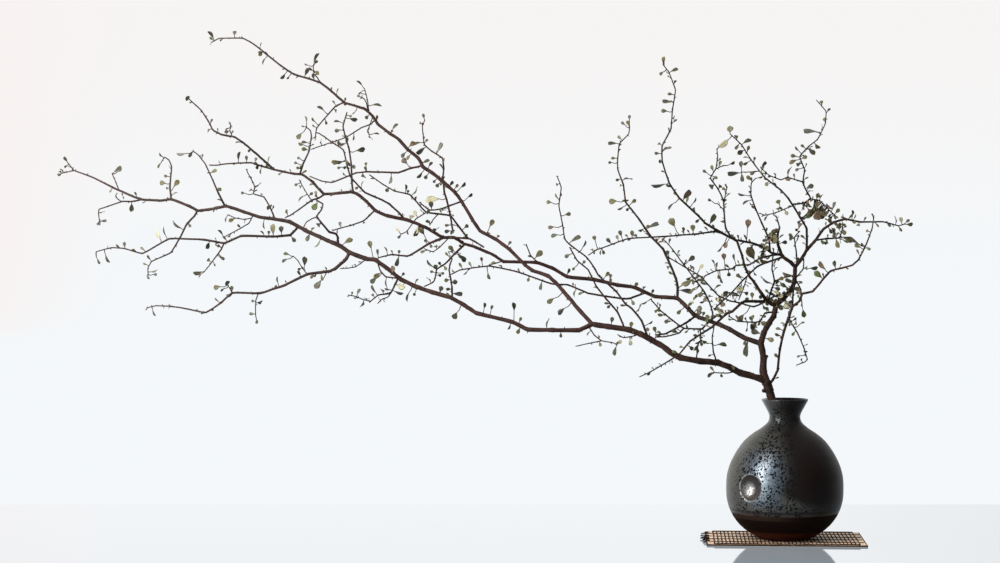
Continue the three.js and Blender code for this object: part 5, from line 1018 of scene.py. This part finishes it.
def curve_piece(name, curve, node):
    holder = bpy.data.objects.new("holder_" + name, curve)
    bpy.context.scene.collection.objects.link(holder)
    mesh = bpy.data.meshes.new_from_object(holder.evaluated_get(bpy.context.evaluated_depsgraph_get()))
    bpy.data.objects.remove(holder)
    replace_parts(mesh_piece(name, mesh), node)


print("boughs and sprays", len(nodes))

# %% [markdown]
# Each bough or spray is one piece of wood, with its spurs and the stalks of its leaves. A run takes the old
# or the young bark by its thickness. A stalk is as thin as thread: it flares where it leaves the twig, sags
# a little and runs just into its blade, so that the two never part.

# %% Wood
OLD_RADIUS = 1.5
WOOD_ROUNDNESS = 2
STALK_RADII = (0.65, 0.5, 0.45)
STALK_SAG = 0.15
INTO_BLADE = 0.4


def stalk_of(blade):
    base = blade["middle"] - blade["along"] * blade["length"] / 2
    sag = base.lerp(blade["root"], 0.5) - Vector((0, 0, STALK_SAG * (base - blade["root"]).length))
    into = base + blade["along"] * INTO_BLADE
    return list(zip((blade["root"], sag, into), STALK_RADII))


for node in nodes:
    curve = new_curve("line_" + node, WOOD_ROUNDNESS, (old_bark, twig_bark))
    for run in (run for run in runs.values() if run["node"] == node):
        add_line(curve, rounded(run["seen"], run["radii"]), 0 if max(run["radii"]) > OLD_RADIUS else 1, place)
        for spur in spurs_on(run):
            add_line(curve, spur, 1, place)
    for blade in (blade for blade in blades if blade["node"] == node):
        add_line(curve, stalk_of(blade), 1, place)
    curve_piece("wood_" + node, curve, node)
print("stalks", len(blades))

# %% [markdown]
# One blade is shaped on a small grid: narrow at the stalk, widest past the middle and blunt at the tip,
# folded a little along its midrib and curled back. A flat card would vanish from the side, so it gets a thin
# wall, whose lower faces take the silver of the underside.

# %% Leaf blade
BLADE_ROWS = ((0, 0.14), (0.2, 0.42), (0.42, 0.82), (0.64, 1), (0.84, 0.9), (1, 0.42))
FOLD = 0.16
CURL = 0.24
BLUNT_TIP = 0.08
BLADE_WALL = 0.035
FACING_DOWN = -0.3


def mesh_from(form, name, materials):
    mesh = bpy.data.meshes.new(name)
    form.to_mesh(mesh)
    form.free()
    for material in materials:
        mesh.materials.append(material)
    return mesh


form = bmesh.new()
bmesh.ops.create_grid(form, x_segments=4, y_segments=len(BLADE_ROWS) - 1, size=1)
for vertex in form.verts:
    row = round((vertex.co.y + 1) / 2 * (len(BLADE_ROWS) - 1))
    at, half = BLADE_ROWS[row]
    across = vertex.co.x
    round_tip = BLUNT_TIP * across * across if at == 1 else 0
    vertex.co = (across * half / 2, at - round_tip, abs(across) * half * FOLD / 2 - CURL * at * at)
bmesh.ops.recalc_face_normals(form, faces=form.faces)
if sum(face.normal.z for face in form.faces) < 0:
    bmesh.ops.reverse_faces(form, faces=form.faces)
bmesh.ops.solidify(form, geom=form.verts[:] + form.edges[:] + form.faces[:], thickness=BLADE_WALL)
bmesh.ops.recalc_face_normals(form, faces=form.faces)
for face in form.faces:
    face.material_index = 1 if face.normal.z < FACING_DOWN else 0
    face.smooth = True
blade_mesh = mesh_from(form, "blade", ())
print("faces in a blade", len(blade_mesh.polygons))

# %% [markdown]
# Every leaf is a copy of that one blade. A thousand separate objects would be slow to handle, so the copies
# of a bough go into one mesh. A grey leaf is one that shows its silver underside to the front, so that blade
# is turned over.

# %% Leaves on their stalks
def blade_spot(blade):
    along = blade["along"]
    side = (blade["side"] - along * blade["side"].dot(along)).normalized()
    up = side.cross(along)
    toward_viewer = up.y < 0
    if toward_viewer == (blade["tone"] == "grey"):
        side, up = -side, -up
    base = place(blade["middle"] - along * blade["length"] / 2)
    turn = Matrix((side, along, up)).transposed().to_4x4()
    length = blade["length"] * MM
    return Matrix.Translation(base) @ turn @ Matrix.Diagonal((blade["width"] * MM, length, length, 1))


for node in nodes:
    foliage = bmesh.new()
    for blade in (blade for blade in blades if blade["node"] == node):
        first = len(foliage.verts)
        first_face = len(foliage.faces)
        foliage.from_mesh(blade_mesh)
        foliage.verts.ensure_lookup_table()
        foliage.faces.ensure_lookup_table()
        bmesh.ops.transform(foliage, matrix=blade_spot(blade), verts=foliage.verts[first:])
        tone = TONES.index(blade["tone"] if blade["tone"] != "grey" else "dark")
        for face in foliage.faces[first_face:]:
            face.material_index = TONES.index("underside") if face.material_index == 1 else tone
    mesh_piece("leaves_" + node, mesh_from(foliage, "leaves_" + node, leaf_materials))
print("leaves in all", len(blades))

# %% [markdown]
# The vase was thrown on a wheel, so its profile is drawn once and spun round the axis. The belly's points
# are joined by smooth curves first, because a glossy glaze shows every straight step in an outline.

# %% Vase profile
VASE_PROFILE = ((0, 5.2), (25, 5.2), (26.2, 4.4), (26.5, 3.4), (27.2, 3), (31.3, 3), (32.2, 3.3), (33.5, 4),
                (36, 5), (42.3, 9), (48.6, 13.5), (54.5, 19), (58.6, 24), (62, 29), (64.5, 34), (66.6, 39),
                (68.1, 44), (69.2, 49), (69.8, 54), (70, 60), (70, 66), (69.7, 73), (68.9, 79), (67.7, 84),
                (66.2, 89), (64.2, 94), (61.8, 99), (59.1, 104), (56, 109), (52.5, 114), (48.5, 119),
                (43.2, 124), (36.7, 129), (28.7, 134), (22.6, 139), (20.1, 142), (18.9, 145), (18.5, 147.5),
                (18.6, 150), (20.1, 154), (22.9, 159), (25.3, 163.4), (27.5, 167.4), (27.9, 168.4),
                (27.7, 169.2), (27, 169.6), (26, 169.6), (25.2, 169.2), (24.3, 168), (21.4, 163), (18.6, 159),
                (16.4, 153), (14.6, 148), (14.7, 145), (15.8, 141), (18.6, 137.5), (25.8, 131.5), (36, 125),
                (45, 117.5), (52.2, 107.5), (57.5, 97.5), (61.5, 87.5), (64, 78), (65, 68), (65, 60),
                (64.2, 50), (61.5, 40), (56.5, 30), (49, 21), (38, 14), (20, 12.1), (0, 12))
BELLY_FOOT = 34
BELLY_TOP = 114
BELLY_PARTS = 4

profile = [Vector((radius, 0, height)) for radius, height in VASE_PROFILE]
outline = []
for i, (a, b) in enumerate(zip(profile, profile[1:])):
    on_belly = BELLY_FOOT <= a.z < BELLY_TOP and b.z > a.z
    if on_belly:
        leave = a + (b - profile[i - 1]) / 6
        arrive = b - (profile[i + 2] - a) / 6
        outline += interpolate_bezier(a, leave, arrive, b, BELLY_PARTS + 1)[:-1]
    else:
        outline.append(a)
outline.append(profile[-1])
print("points in the outline", len(outline))

# %% [markdown]
# The outline is spun into a closed shell with its inner wall. The spin is dense, because the wall is pressed
# in afterwards, and a pressed dimple needs points enough for its crisp rim.

# %% Spin
SPIN_STEPS = 288
SAME_POINT = 0.01

form = bmesh.new()
corners = [form.verts.new(point) for point in outline]
edges = [form.edges.new(pair) for pair in zip(corners, corners[1:])]
bmesh.ops.spin(form, geom=corners + edges, cent=(0, 0, 0), axis=(0, 0, 1), angle=math.tau, steps=SPIN_STEPS,
               use_merge=True)
bmesh.ops.remove_doubles(form, verts=form.verts, dist=SAME_POINT)
print("points in the spun wall", len(form.verts))

# %% [markdown]
# The potter pressed a thumb into the wet wall. A boolean with a ball would cut the wall through, so every
# point inside the thumb's ball is pushed back onto it instead, outside and inside alike, with a soft rim.
# The inner side follows a ball that is larger by the wall, so that the wall keeps its thickness.

# %% Thumb dimple
DIMPLE_RADIUS = 20
DIMPLE_DISTANCE = 80.8
DIMPLE_HEIGHT = 67.5
DIMPLE_ANGLE = math.radians(227)
VASE_WALL = 5
INNER_BELLY = 65.3
INNER_SHOULDER = 64
SHOULDER_HEIGHT = 80
NEAR_THE_DIMPLE = 40
RIM_SOFTNESS = 0.5
FULLY_PRESSED = 20
UNTOUCHED = -4
BAND_HEIGHT = 34.5

toward = Vector((math.cos(DIMPLE_ANGLE), math.sin(DIMPLE_ANGLE), 0))
thumb = toward * DIMPLE_DISTANCE + Vector((0, 0, DIMPLE_HEIGHT))
for vertex in form.verts:
    outer = vertex.co.xy.length > (INNER_BELLY if vertex.co.z < SHOULDER_HEIGHT else INNER_SHOULDER)
    ball = DIMPLE_RADIUS if outer else DIMPLE_RADIUS + VASE_WALL
    away = vertex.co - thumb
    aside = (away - toward * away.dot(toward)).length
    if vertex.co.dot(toward) > NEAR_THE_DIMPLE and aside < ball:
        surface = thumb.dot(toward) - math.sqrt(ball * ball - aside * aside)
        over = (vertex.co.dot(toward) - surface) / RIM_SOFTNESS
        press = RIM_SOFTNESS * (over if over > FULLY_PRESSED else math.log1p(math.exp(over)))
        vertex.co -= toward * (press if over > UNTOUCHED else 0)
bmesh.ops.scale(form, vec=(MM, MM, MM), verts=form.verts)
bmesh.ops.recalc_face_normals(form, faces=form.faces)
for face in form.faces:
    face.smooth = True
    face.material_index = 1 if face.calc_center_median().z < BAND_HEIGHT * MM else 0
vase_mesh = mesh_from(form, "vase_body", ())
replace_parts(mesh_piece("vase_body", vase_mesh), "vase")
print("faces under the glaze's edge", sum(face.material_index for face in vase_mesh.polygons))

# %% [markdown]
# The glaze is an iron glaze: olive grey on the left and smooth black-brown on the right, with marks round the
# thumb dimple. The right is made near black with painted shade, and some marks are painted light: a painted
# highlight on the bloom, beside the dimple, in it and partly on its rim, and painted shade low on the right
# and on the dimple's walls. A painted image would need unwrapping and would show its seam, so each area is a
# mask
# worked out from the place on the vase: its height, how far it is to the right, and how far from the dimple.

# %% Where the glaze and its painted light change
RIM_REACH = 68
# The middle of the highlight painted in the dimple.
DIMPLE_HIGHLIGHT_MARK = (-47.8, -42.5, 65.5)
thumb_mark = (toward * RIM_REACH + Vector((0, 0, DIMPLE_HEIGHT))) * MM

glaze = Finish("iron_glaze")
height, across = glaze.axis("Z"), glaze.axis("X")
broad = glaze.noise(28, 3)
from_thumb = glaze.measure("DISTANCE", glaze.place, thumb_mark)
from_dimple_highlight = glaze.measure("DISTANCE", glaze.place, Vector(DIMPLE_HIGHLIGHT_MARK) * MM)
low = glaze.step(height, 0.064, 0.038)
neck = glaze.step(height, 0.136, 0.144)
side = glaze.step(across - 0.048 * low + 0.02 * broad, 0.015, -0.016)
# Painted shade: the glaze is darkened low on the right.
low_right_painted_shade = low * glaze.step(across, -0.012, 0.045)
bowl = glaze.step(from_thumb, 0.0165, 0.0148)
# A pale line round the dimple's rim: partly thinner glaze over the edge, partly a painted highlight.
rim_line_and_highlight = glaze.step(from_thumb, 0.0173, 0.0163) - glaze.step(from_thumb, 0.0158, 0.0148)
# Painted highlight: a pale spot low in the dimple, where the window's highlight shows.
painted_dimple_highlight = glaze.step(from_dimple_highlight, 0.0108, 0.0025)
# Painted highlight: a paler band beside the dimple brightens the highlight there.
painted_highlight_collar = glaze.step(from_thumb, 0.034, 0.02) * glaze.step(across, -0.046, -0.037) * (1 - bowl)
hem = glaze.step(height, 0.0382, 0.0368)
hem_line = glaze.step(height, 0.0408, 0.0392) * glaze.step(height, 0.0362, 0.0378)
# Partly the glaze's blue-grey bloom and partly a painted highlight: it lies where the window's highlight
# falls, and tints and brightens it.
bloom_and_highlight = glaze.step(across + 0.02 * broad, 0.006, -0.014) * glaze.step(across, -0.062, -0.035)
bloom_and_highlight = bloom_and_highlight * glaze.step(height, 0.12, 0.09) * glaze.step(height, 0.038, 0.056) * (1 - bowl) + bowl
print("nodes in the areas", len(glaze.tree.nodes))

# %% [markdown]
# Dark pits crowd the olive side and thin out on both flanks. They are cells of noise, drawn a little out of
# shape so that they don't look stamped. Cutting them into the mesh would need millions of faces, so they only
# darken the glaze and dent its shading.

# %% Pits
PIT_SWIRL = (0.0025, 0.0025, 0.0025)

swirled = {0: glaze.noise(420, 1), 1: PIT_SWIRL, 2: glaze.place}
swirl = glaze.node("ShaderNodeVectorMath", {"operation": "MULTIPLY_ADD"}, swirled)
pits = glaze.node("ShaderNodeTexVoronoi", {}, {"Vector": swirl, "Scale": 270}, "Distance")
small_pits = glaze.node("ShaderNodeTexVoronoi", {}, {"Vector": swirl, "Scale": 520}, "Distance")
patches = glaze.noise(75, 2)
high = glaze.step(height, 0.085, 0.15)
right_limit = glaze.step(across - 0.03 * low + 0.02 * broad, 0.028, 0.004)
left_limit = glaze.step(across - 0.045 * high, -0.07, -0.054)
crowd = right_limit * left_limit * glaze.step(patches, 0.25, 0.5) * (1 - 0.6 * bowl)
large = glaze.step(pits, 0.12 + 0.34 * crowd, 0.04 + 0.3 * crowd)
small = crowd * glaze.step(small_pits, 0.4, 0.32)
pit_mask = glaze.node("ShaderNodeClamp", {}, {"Value": large + small})
open_glaze = 1 - pit_mask
print("nodes with the pits", len(glaze.tree.nodes))

# %% [markdown]
# The masks lay one tone over another, from the widest area to the smallest mark: the wheel's rings; the dark
# side, partly black-brown glaze and partly painted shade; the lower right, darkened as painted shade; the
# blue-grey bloom, partly the glaze's own and partly a painted highlight, with its paler collar beside the
# dimple, a painted highlight; the dimple's walls, browner and darkened as painted shade; the pale painted
# highlight in the dimple; the pale line round its rim, partly thinner glaze and partly a painted highlight;
# the hem where the glaze ends; and last the pits. Some metal and a clear coat give the bloom its sheen, and
# leave the dark side dull.

# %% Glaze
PIT_DEPTH = 0.0009

rings = glaze.noise(55, 3, (0.25, 0.25, 3))
fine = glaze.noise(1300, 2)
olive_share = glaze.step(broad * 0.6 + fine * 0.4, 0.35, 0.68)
layers = (
    (glaze.step(rings, 0.5, 0.72) * 0.3, rgb(0.06, 0.042, 0.034)),
    # The dark side: black-brown glaze, made near black as painted shade.
    ((1 - side) * 0.94, rgb(0.007, 0.003, 0.0018)),
    # Painted shade, darker low on the right.
    (low_right_painted_shade * 0.7, rgb(0.012, 0.01, 0.008)),
    # Blue-grey bloom, partly a painted highlight.
    (bloom_and_highlight * 0.8, rgb(0.064, 0.088, 0.112)),
    # Painted highlight beside the dimple.
    (painted_highlight_collar * bloom_and_highlight * 0.55, rgb(0.2, 0.235, 0.26)),
    (glaze.step(height, 0.125, 0.14) * 0.35, rgb(0.012, 0.012, 0.01)),
    # The dimple's walls: a browner tone, darkened as painted shade.
    (bowl * 0.85, rgb(0.07, 0.05, 0.039)),
    # Painted highlight in the dimple.
    (painted_dimple_highlight * 0.9, rgb(0.37, 0.35, 0.335)),
    # Pale line round the rim, partly a painted highlight.
    (rim_line_and_highlight * 0.6, rgb(0.3, 0.29, 0.27)),
    (hem * 0.7, rgb(0.034, 0.02, 0.013)),
    (hem_line * 0.8, rgb(0.006, 0.004, 0.003)),
    (pit_mask * 0.97, rgb(0.002, 0.002, 0.002)),
)
body = glaze.mix(olive_share, rgb(0.034, 0.031, 0.025), rgb(0.07, 0.066, 0.054))
for share, tone in layers:
    body = glaze.mix(share, body, tone)
relief = glaze.bump(rings * 0.25 + fine * 0.25 + patches * 0.4 + open_glaze * 1.2, 0.6, PIT_DEPTH)
coat = 0.4 * side * (1 - 0.8 * low_right_painted_shade) + 0.6 * bloom_and_highlight - 0.5 * bowl + 0.6 * neck * side
glaze.wear(Base_Color=body, Roughness=0.38 + 0.1 * fine + 0.4 * pit_mask - 0.12 * neck, Normal=relief)
glaze.wear(Metallic=open_glaze * (0.14 * side + 0.52 * bloom_and_highlight + 0.3 * bowl), Coat_Weight=open_glaze * coat)
glaze.wear(Coat_Roughness=0.27, Specular_IOR_Level=0.13, Specular_Tint=rgb(0.78, 0.9, 1.0))
print("nodes in the glaze", len(glaze.tree.nodes), "layers", len(layers))

# %% [markdown]
# Where the glaze stops, a dull dark band of slip runs level round the vase down to a red-brown foot. On the
# left its upper edge is browner. It has a finish of its own, set on the faces below the glaze's edge, because
# its shine is quite another one.

# %% Slip and foot
slip = Finish("dark_slip")
height, across = slip.axis("Z"), slip.axis("X")
streaks = slip.noise(45, 4, (0.3, 0.3, 4))
grit = slip.noise(1500, 2)
dip = slip.step(height + 0.001 * streaks, 0.0282, 0.0302) * slip.step(across, 0.02, -0.025)
red = slip.step(height + 0.003 * streaks, 0.016, 0.0115)
clay = slip.mix(streaks, rgb(0.002, 0.0008, 0.0005), rgb(0.01, 0.0035, 0.0018))
clay = slip.mix(dip * 0.8, clay, rgb(0.026, 0.015, 0.0095))
clay = slip.mix(red, clay, rgb(0.06, 0.013, 0.006))
slip.wear(Base_Color=clay, Roughness=0.6 + 0.2 * grit, Normal=slip.bump(streaks + grit * 0.4, 0.3, 0.0006))
slip.wear(Specular_IOR_Level=0.06)
for finish in (glaze, slip):
    vase_mesh.materials.append(finish.material)
print("finishes on the vase", [material.name for material in vase_mesh.materials])

# %% [markdown]
# Only a little of the water is ever seen, down the neck. Clear water could be made with transmission, but in
# so dark a vase it would look black, so the solid keeps its shape and takes a dark wet finish.

# %% Water
water = Finish("water")
ripple = water.mix(water.noise(60, 2), rgb(0.05, 0.075, 0.075), rgb(0.1, 0.14, 0.14))
water.wear(Base_Color=ripple, Roughness=0.05)
pool_in_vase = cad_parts["water"].data
pool_in_vase.materials.clear()
pool_in_vase.materials.append(water.material)
print("water faces", len(pool_in_vase.polygons))

# %% [markdown]
# The mat is five flat strips of split wood. Each strip is a box with its edges rounded. The grain is noise
# stretched along the strip, because that needs no image and runs the right way from every side.

# %% Slats
MAT_LENGTH = 186
MAT_DEPTH = 130
MAT_TURN = Matrix.Rotation(math.radians(-4), 4, "Z")
SLAT_COUNT = 5
SLAT_GAP = 2
SLAT_THICKNESS = 2
SLAT_ROUNDING = 0.6
slat_width = (MAT_DEPTH - SLAT_GAP * (SLAT_COUNT - 1)) / SLAT_COUNT

wood = Finish("slat_wood")
grain = wood.noise(420, 5, (0.05, 1, 1))
grain_share = wood.step(grain * 0.6 + wood.noise(30, 2, (0.2, 1, 1)) * 0.4, 0.35, 0.65)
colour = wood.mix(grain_share, rgb(0.52, 0.29, 0.17), rgb(0.98, 0.73, 0.48))
wood.wear(Base_Color=colour, Roughness=0.42 + 0.2 * grain, Normal=wood.bump(grain, 0.3, 0.0006))

for i in range(SLAT_COUNT):
    y = -MAT_DEPTH / 2 + slat_width / 2 + i * (slat_width + SLAT_GAP)
    size = Matrix.Diagonal((MAT_LENGTH, slat_width, SLAT_THICKNESS, 1))
    form = bmesh.new()
    bmesh.ops.create_cube(form, size=1, matrix=Matrix.Translation((0, y, SLAT_THICKNESS / 2)) @ size)
    bmesh.ops.bevel(form, geom=form.edges[:], offset=SLAT_ROUNDING, offset_type="OFFSET", affect="EDGES",
                    segments=3, profile=0.5, material=-1)
    bmesh.ops.transform(form, matrix=Matrix.Scale(MM, 4) @ MAT_TURN, verts=form.verts)
    slat = mesh_piece(f"slat_{i + 1}", mesh_from(form, f"slat_{i + 1}", (wood.material,)))
    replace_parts(slat, f"mat_slat_{i + 1}")
print("slat width", round(slat_width, 1))

# %% [markdown]
# The lacing is fine twisted thread. A woven texture would lie flat, so it is drawn as lines, as the wood is.
# First come the passes over the slats, each a little crooked, and the two edge cords that hold their ends.

# %% Threads over the slats
THREAD_COUNT = 38
THREAD_PITCH = 4.6
FIRST_THREAD = -85
THREAD_INSET = 1.5
THREAD_HEIGHT = 2.52
THREAD_RADIUS = 0.64
THREAD_ROUNDNESS = 1
PASS_STEPS = 16
EDGE_STEPS = 40
THICK_THREAD = THREAD_RADIUS * 1.2
CROOKED = 0.35
PRESSED = 0.1
edge_y = MAT_DEPTH / 2 - THREAD_INSET
last_thread = FIRST_THREAD + THREAD_PITCH * (THREAD_COUNT - 1)

yarn = Finish("thread")
strand = yarn.noise(2600, 2, (1, 0.4, 1))
twist = yarn.mix(strand, rgb(0.004, 0.0018, 0.0012), rgb(0.03, 0.012, 0.008))
yarn.wear(Base_Color=twist, Roughness=0.8 + 0.1 * strand, Normal=yarn.bump(strand, 0.4, 0.0003))
yarn.wear(Specular_IOR_Level=0.15)


def straight(start, end, height, parts):
    (x, y), (end_x, end_y) = start, end
    return [(x + (end_x - x) * k / parts, y + (end_y - y) * k / parts, height) for k in range(parts + 1)]


def cross_thread(i):
    x = FIRST_THREAD + i * THREAD_PITCH
    steps = [-edge_y + k * edge_y / (PASS_STEPS / 2) for k in range(PASS_STEPS + 1)]
    return [(x + CROOKED * (scatter(i, y, 5) - 0.5), y, THREAD_HEIGHT - PRESSED * scatter(i, y, 6))
            for y in steps]


lacing = [(cross_thread(i), THREAD_RADIUS) for i in range(THREAD_COUNT)]
for y in (-edge_y, edge_y):
    lacing.append((straight((FIRST_THREAD, y), (last_thread, y), THREAD_HEIGHT, EDGE_STEPS), THICK_THREAD))
print("lines over the slats", len(lacing), "from", FIRST_THREAD, "to", round(last_thread, 1))

# %% [markdown]
# A thicker cord is sewn round the mat, and at the left a few thread ends have come undone. Each loose end is
# listed by where it leaves the mat and where it lies down on the table, because no two are alike.

# %% Border and loose ends
BORDER_GAP = 0.5
BORDER_RADIUS = 0.95
BORDER_HEIGHT = 1.1
BORDER_STEPS = 30
FRAYED_HEIGHTS = (2.5, 2.8, 1.6)
FRAYED = ((-90, 20, -100, 26), (-90, 8, -99, 2), (-90, -5, -101, -1), (-90, -20, -98, -25),
          (-90, -34, -97, -42), (-90, 38, -99, 45), (-90, 52, -96, 49), (-90, -8, -98, -14))


def lay(spot):
    return MAT_TURN @ Vector(spot) * MM


def thread_piece(name, lines, node):
    curve = new_curve(name, THREAD_ROUNDNESS, (yarn.material,))
    for line, radius in lines:
        add_line(curve, [(spot, radius) for spot in line], 0, lay)
    curve_piece(name, curve, node)


for x, y, end_x, end_y in FRAYED:
    bends = ((x, y), ((x + end_x) / 2, y), (end_x, end_y))
    lacing.append(([(*bend, height) for bend, height in zip(bends, FRAYED_HEIGHTS)], THICK_THREAD))
border_x, border_y = MAT_LENGTH / 2 + BORDER_GAP, MAT_DEPTH / 2 + BORDER_GAP
corners = [(-border_x, -border_y), (border_x, -border_y), (border_x, border_y), (-border_x, border_y)]
for start, end in zip(corners, corners[1:] + corners[:1]):
    lacing.append((straight(start, end, BORDER_HEIGHT, BORDER_STEPS), BORDER_RADIUS))
thread_piece("lacing", lacing, "mat_threads")
print("lines in the lacing", len(lacing))

# %% [markdown]
# In each gap between two slats lies a cord that the lacing is pulled round. It shows only as a dark line, so
# a straight one is enough.

# %% Cords in the gaps
GAP_CORD_HEIGHT = 1.9
GAP_CORD_RADIUS = 0.85
GAP_CORD_INSET = 1
cord_end = MAT_LENGTH / 2 - GAP_CORD_INSET

for i in range(1, SLAT_COUNT):
    y = -MAT_DEPTH / 2 + i * (slat_width + SLAT_GAP) - SLAT_GAP / 2
    line = straight((-cord_end, y), (cord_end, y), GAP_CORD_HEIGHT, 2)
    thread_piece(f"gap_cord_{i}", [(line, GAP_CORD_RADIUS)], f"mat_cord_{i}")
print("length of a gap cord", 2 * cord_end)

# %% [markdown]
# The room is plain: a glossy table and a pale backdrop. A white table under lamps would show their pools of
# light, and a lit wall falls off towards its corners, so both glow instead, from their finishes. The backdrop
# glows evenly; the table's glow is painted light, dimmer to the right of the vase and brighter again farther
# out to the front and sides.

# %% Finishes of the room
table = Finish("table")
haze = table.mix(table.noise(1.5, 2), rgb(0.2, 0.215, 0.23), rgb(0.22, 0.235, 0.25))
across, forward = table.axis("X"), table.axis("Y")
# Painted light in the table's glow: dimmer to the right of the vase, brighter again farther out to the front
# and sides.
shade = table.mix(table.step(across, -0.1, 0.35), rgb(0.8, 0.92, 1.0), rgb(0.5, 0.6, 0.68))
near_front = table.step(forward, -1.1, -0.35)
near_sides = table.step(across, 1.0, 0.36) * table.step(across, -1.8, -1.05)
shade = table.mix(1 - near_front * near_sides, shade, rgb(1.2, 1.28, 1.34))
table.wear(Base_Color=haze, Roughness=0.06, Specular_IOR_Level=0.05)
table.wear(Emission_Color=shade, Emission_Strength=0.5)
table.wear(Coat_Weight=1.0, Coat_Roughness=0.04, Coat_IOR=1.6)

backdrop = Finish("backdrop")
height, across = backdrop.axis("Z"), backdrop.axis("X")
glow = backdrop.mix(backdrop.step(height, 0.0, 1.5), rgb(0.905, 0.938, 0.962), rgb(0.928, 0.91, 0.905))
glow = backdrop.mix(backdrop.step(across, -2.1, -2.9), glow, rgb(0.938, 0.897, 0.888))
backdrop.wear(Base_Color=rgb(0.0, 0.0, 0.0), Roughness=1.0, Specular_IOR_Level=0.0)
backdrop.wear(Emission_Color=glow, Emission_Strength=1.0)
print("nodes in the room's finishes", len(table.tree.nodes), len(backdrop.tree.nodes))

# %% [markdown]
# Table and backdrop are one sheet, flat under the mat and swept up far behind it, so that no corner shows
# past the branch. The glossy finish stops at a straight line behind the mat.

# %% Table and backdrop
TABLE_EDGE = 0.405
SWEEP_LINE = ((-9, 0), (TABLE_EDGE, 0), (8, 0), (8.6, 0.08), (9, 0.35), (9.2, 0.9), (9.25, 1.6), (9.25, 7))
SWEEP_WIDTH = 24

form = bmesh.new()
corners = [form.verts.new((-SWEEP_WIDTH / 2, y, z)) for y, z in SWEEP_LINE]
edges = [form.edges.new(pair) for pair in zip(corners, corners[1:])]
copied = bmesh.ops.extrude_edge_only(form, edges=edges)["geom"]
far_side = [part for part in copied if isinstance(part, bmesh.types.BMVert)]
bmesh.ops.translate(form, vec=(SWEEP_WIDTH, 0, 0), verts=far_side)
bmesh.ops.recalc_face_normals(form, faces=form.faces)
if form.faces[:][0].normal.z < 0:
    bmesh.ops.reverse_faces(form, faces=form.faces)
for face in form.faces:
    face.smooth = True
    face.material_index = 1 if face.calc_center_median().y > TABLE_EDGE else 0
sheet = mesh_from(form, "table_and_backdrop", (table.material, backdrop.material))
ground = bpy.data.objects.new("table_and_backdrop", sheet)
bpy.context.scene.collection.objects.link(ground)
print(ground.name, "edge of the table at", TABLE_EDGE)

# %% [markdown]
# The right of the vase is nearly black, as it is when a dark card stands beside the object. Here the
# surroundings are darker in that direction, on top of the shade painted into the glaze there, and elsewhere
# they glow softly. What the camera sees past the table is paler, by the light path, so that the room stays
# bright in every view.

# %% Surroundings
DARK_SIDE = (0.87, -0.5, 0)
DARK_CARD = rgb(0.09, 0.09, 0.095)
ROOM_GLOW = rgb(0.5, 0.51, 0.53)
SEEN_WALL = rgb(0.9, 0.915, 0.93)

world = bpy.data.worlds.new("room")
bpy.context.scene.world = world
world.use_nodes = True
room = Nodes(world.node_tree)
direction = room.node("ShaderNodeTexCoord", {}, {}, "Generated")
toward_dark = room.measure("DOT_PRODUCT", direction, DARK_SIDE)
glow = room.mix(room.step(toward_dark, 0.85, 0.55), DARK_CARD, ROOM_GLOW)
soft_glow = room.node("ShaderNodeBackground", {}, {"Color": glow})
seen_wall = room.node("ShaderNodeBackground", {}, {"Color": SEEN_WALL})
camera_ray = room.node("ShaderNodeLightPath", {}, {}, "Is Camera Ray")
chosen = room.node("ShaderNodeMixShader", {}, {0: camera_ray, 1: soft_glow, 2: seen_wall})
room.give(world.node_tree.nodes["World Output"].inputs["Surface"], chosen)
world.node_tree.nodes.remove(world.node_tree.nodes["Background"])
print("nodes in the surroundings", len(world.node_tree.nodes))

# %% [markdown]
# One tall soft window on the left front draws the highlight down the vase, and the other two lamps are
# faint. The window doesn't light the table, because a bright pool would show there, and the lamps are hidden
# from the camera. Only the window is mirrored, so that no lamp's edge shows in the glossy table.

# %% Lamps
def soft_light(name, spot, aim, size, power, colour):
    data = bpy.data.lights.new(name, "AREA")
    data.shape = "RECTANGLE"
    data.size, data.size_y = size
    data.energy = power
    data.color = colour
    lamp = bpy.data.objects.new(name, data)
    bpy.context.scene.collection.objects.link(lamp)
    lamp.location = spot
    lamp.visible_camera = False
    lamp.visible_glossy = name == "window"
    lamp.rotation_euler = (Vector(aim) - Vector(spot)).to_track_quat("-Z", "Y").to_euler()
    return lamp


window = soft_light("window", spot=(-1.56, -1.0, 0.98), aim=(0, 0, 0.1), size=(0.6, 1.9), power=62,
                    colour=(0.93, 0.97, 1.0))
not_the_table = bpy.data.collections.new("not_the_table")
not_the_table.objects.link(ground)
not_the_table.collection_objects[0].light_linking.link_state = "EXCLUDE"
window.light_linking.receiver_collection = not_the_table
soft_light("overhead", spot=(-0.3, -0.4, 2.4), aim=(-0.3, 0, 0.2), size=(3.0, 1.6), power=14,
           colour=(1.0, 0.99, 0.97))
soft_light("fill", spot=(1.9, -1.6, 1.8), aim=(-0.2, 0, 0.3), size=(2.0, 2.0), power=2,
           colour=(1.0, 0.98, 0.95))
bpy.context.scene.view_settings.view_transform = "Standard"
print("lamps", [lamp.name for lamp in bpy.data.lights])

# %% [markdown]
# The small leaves and the bark reach past the box of the bare solids by about a centimetre at the tips of the
# sprays, and not at all in height.
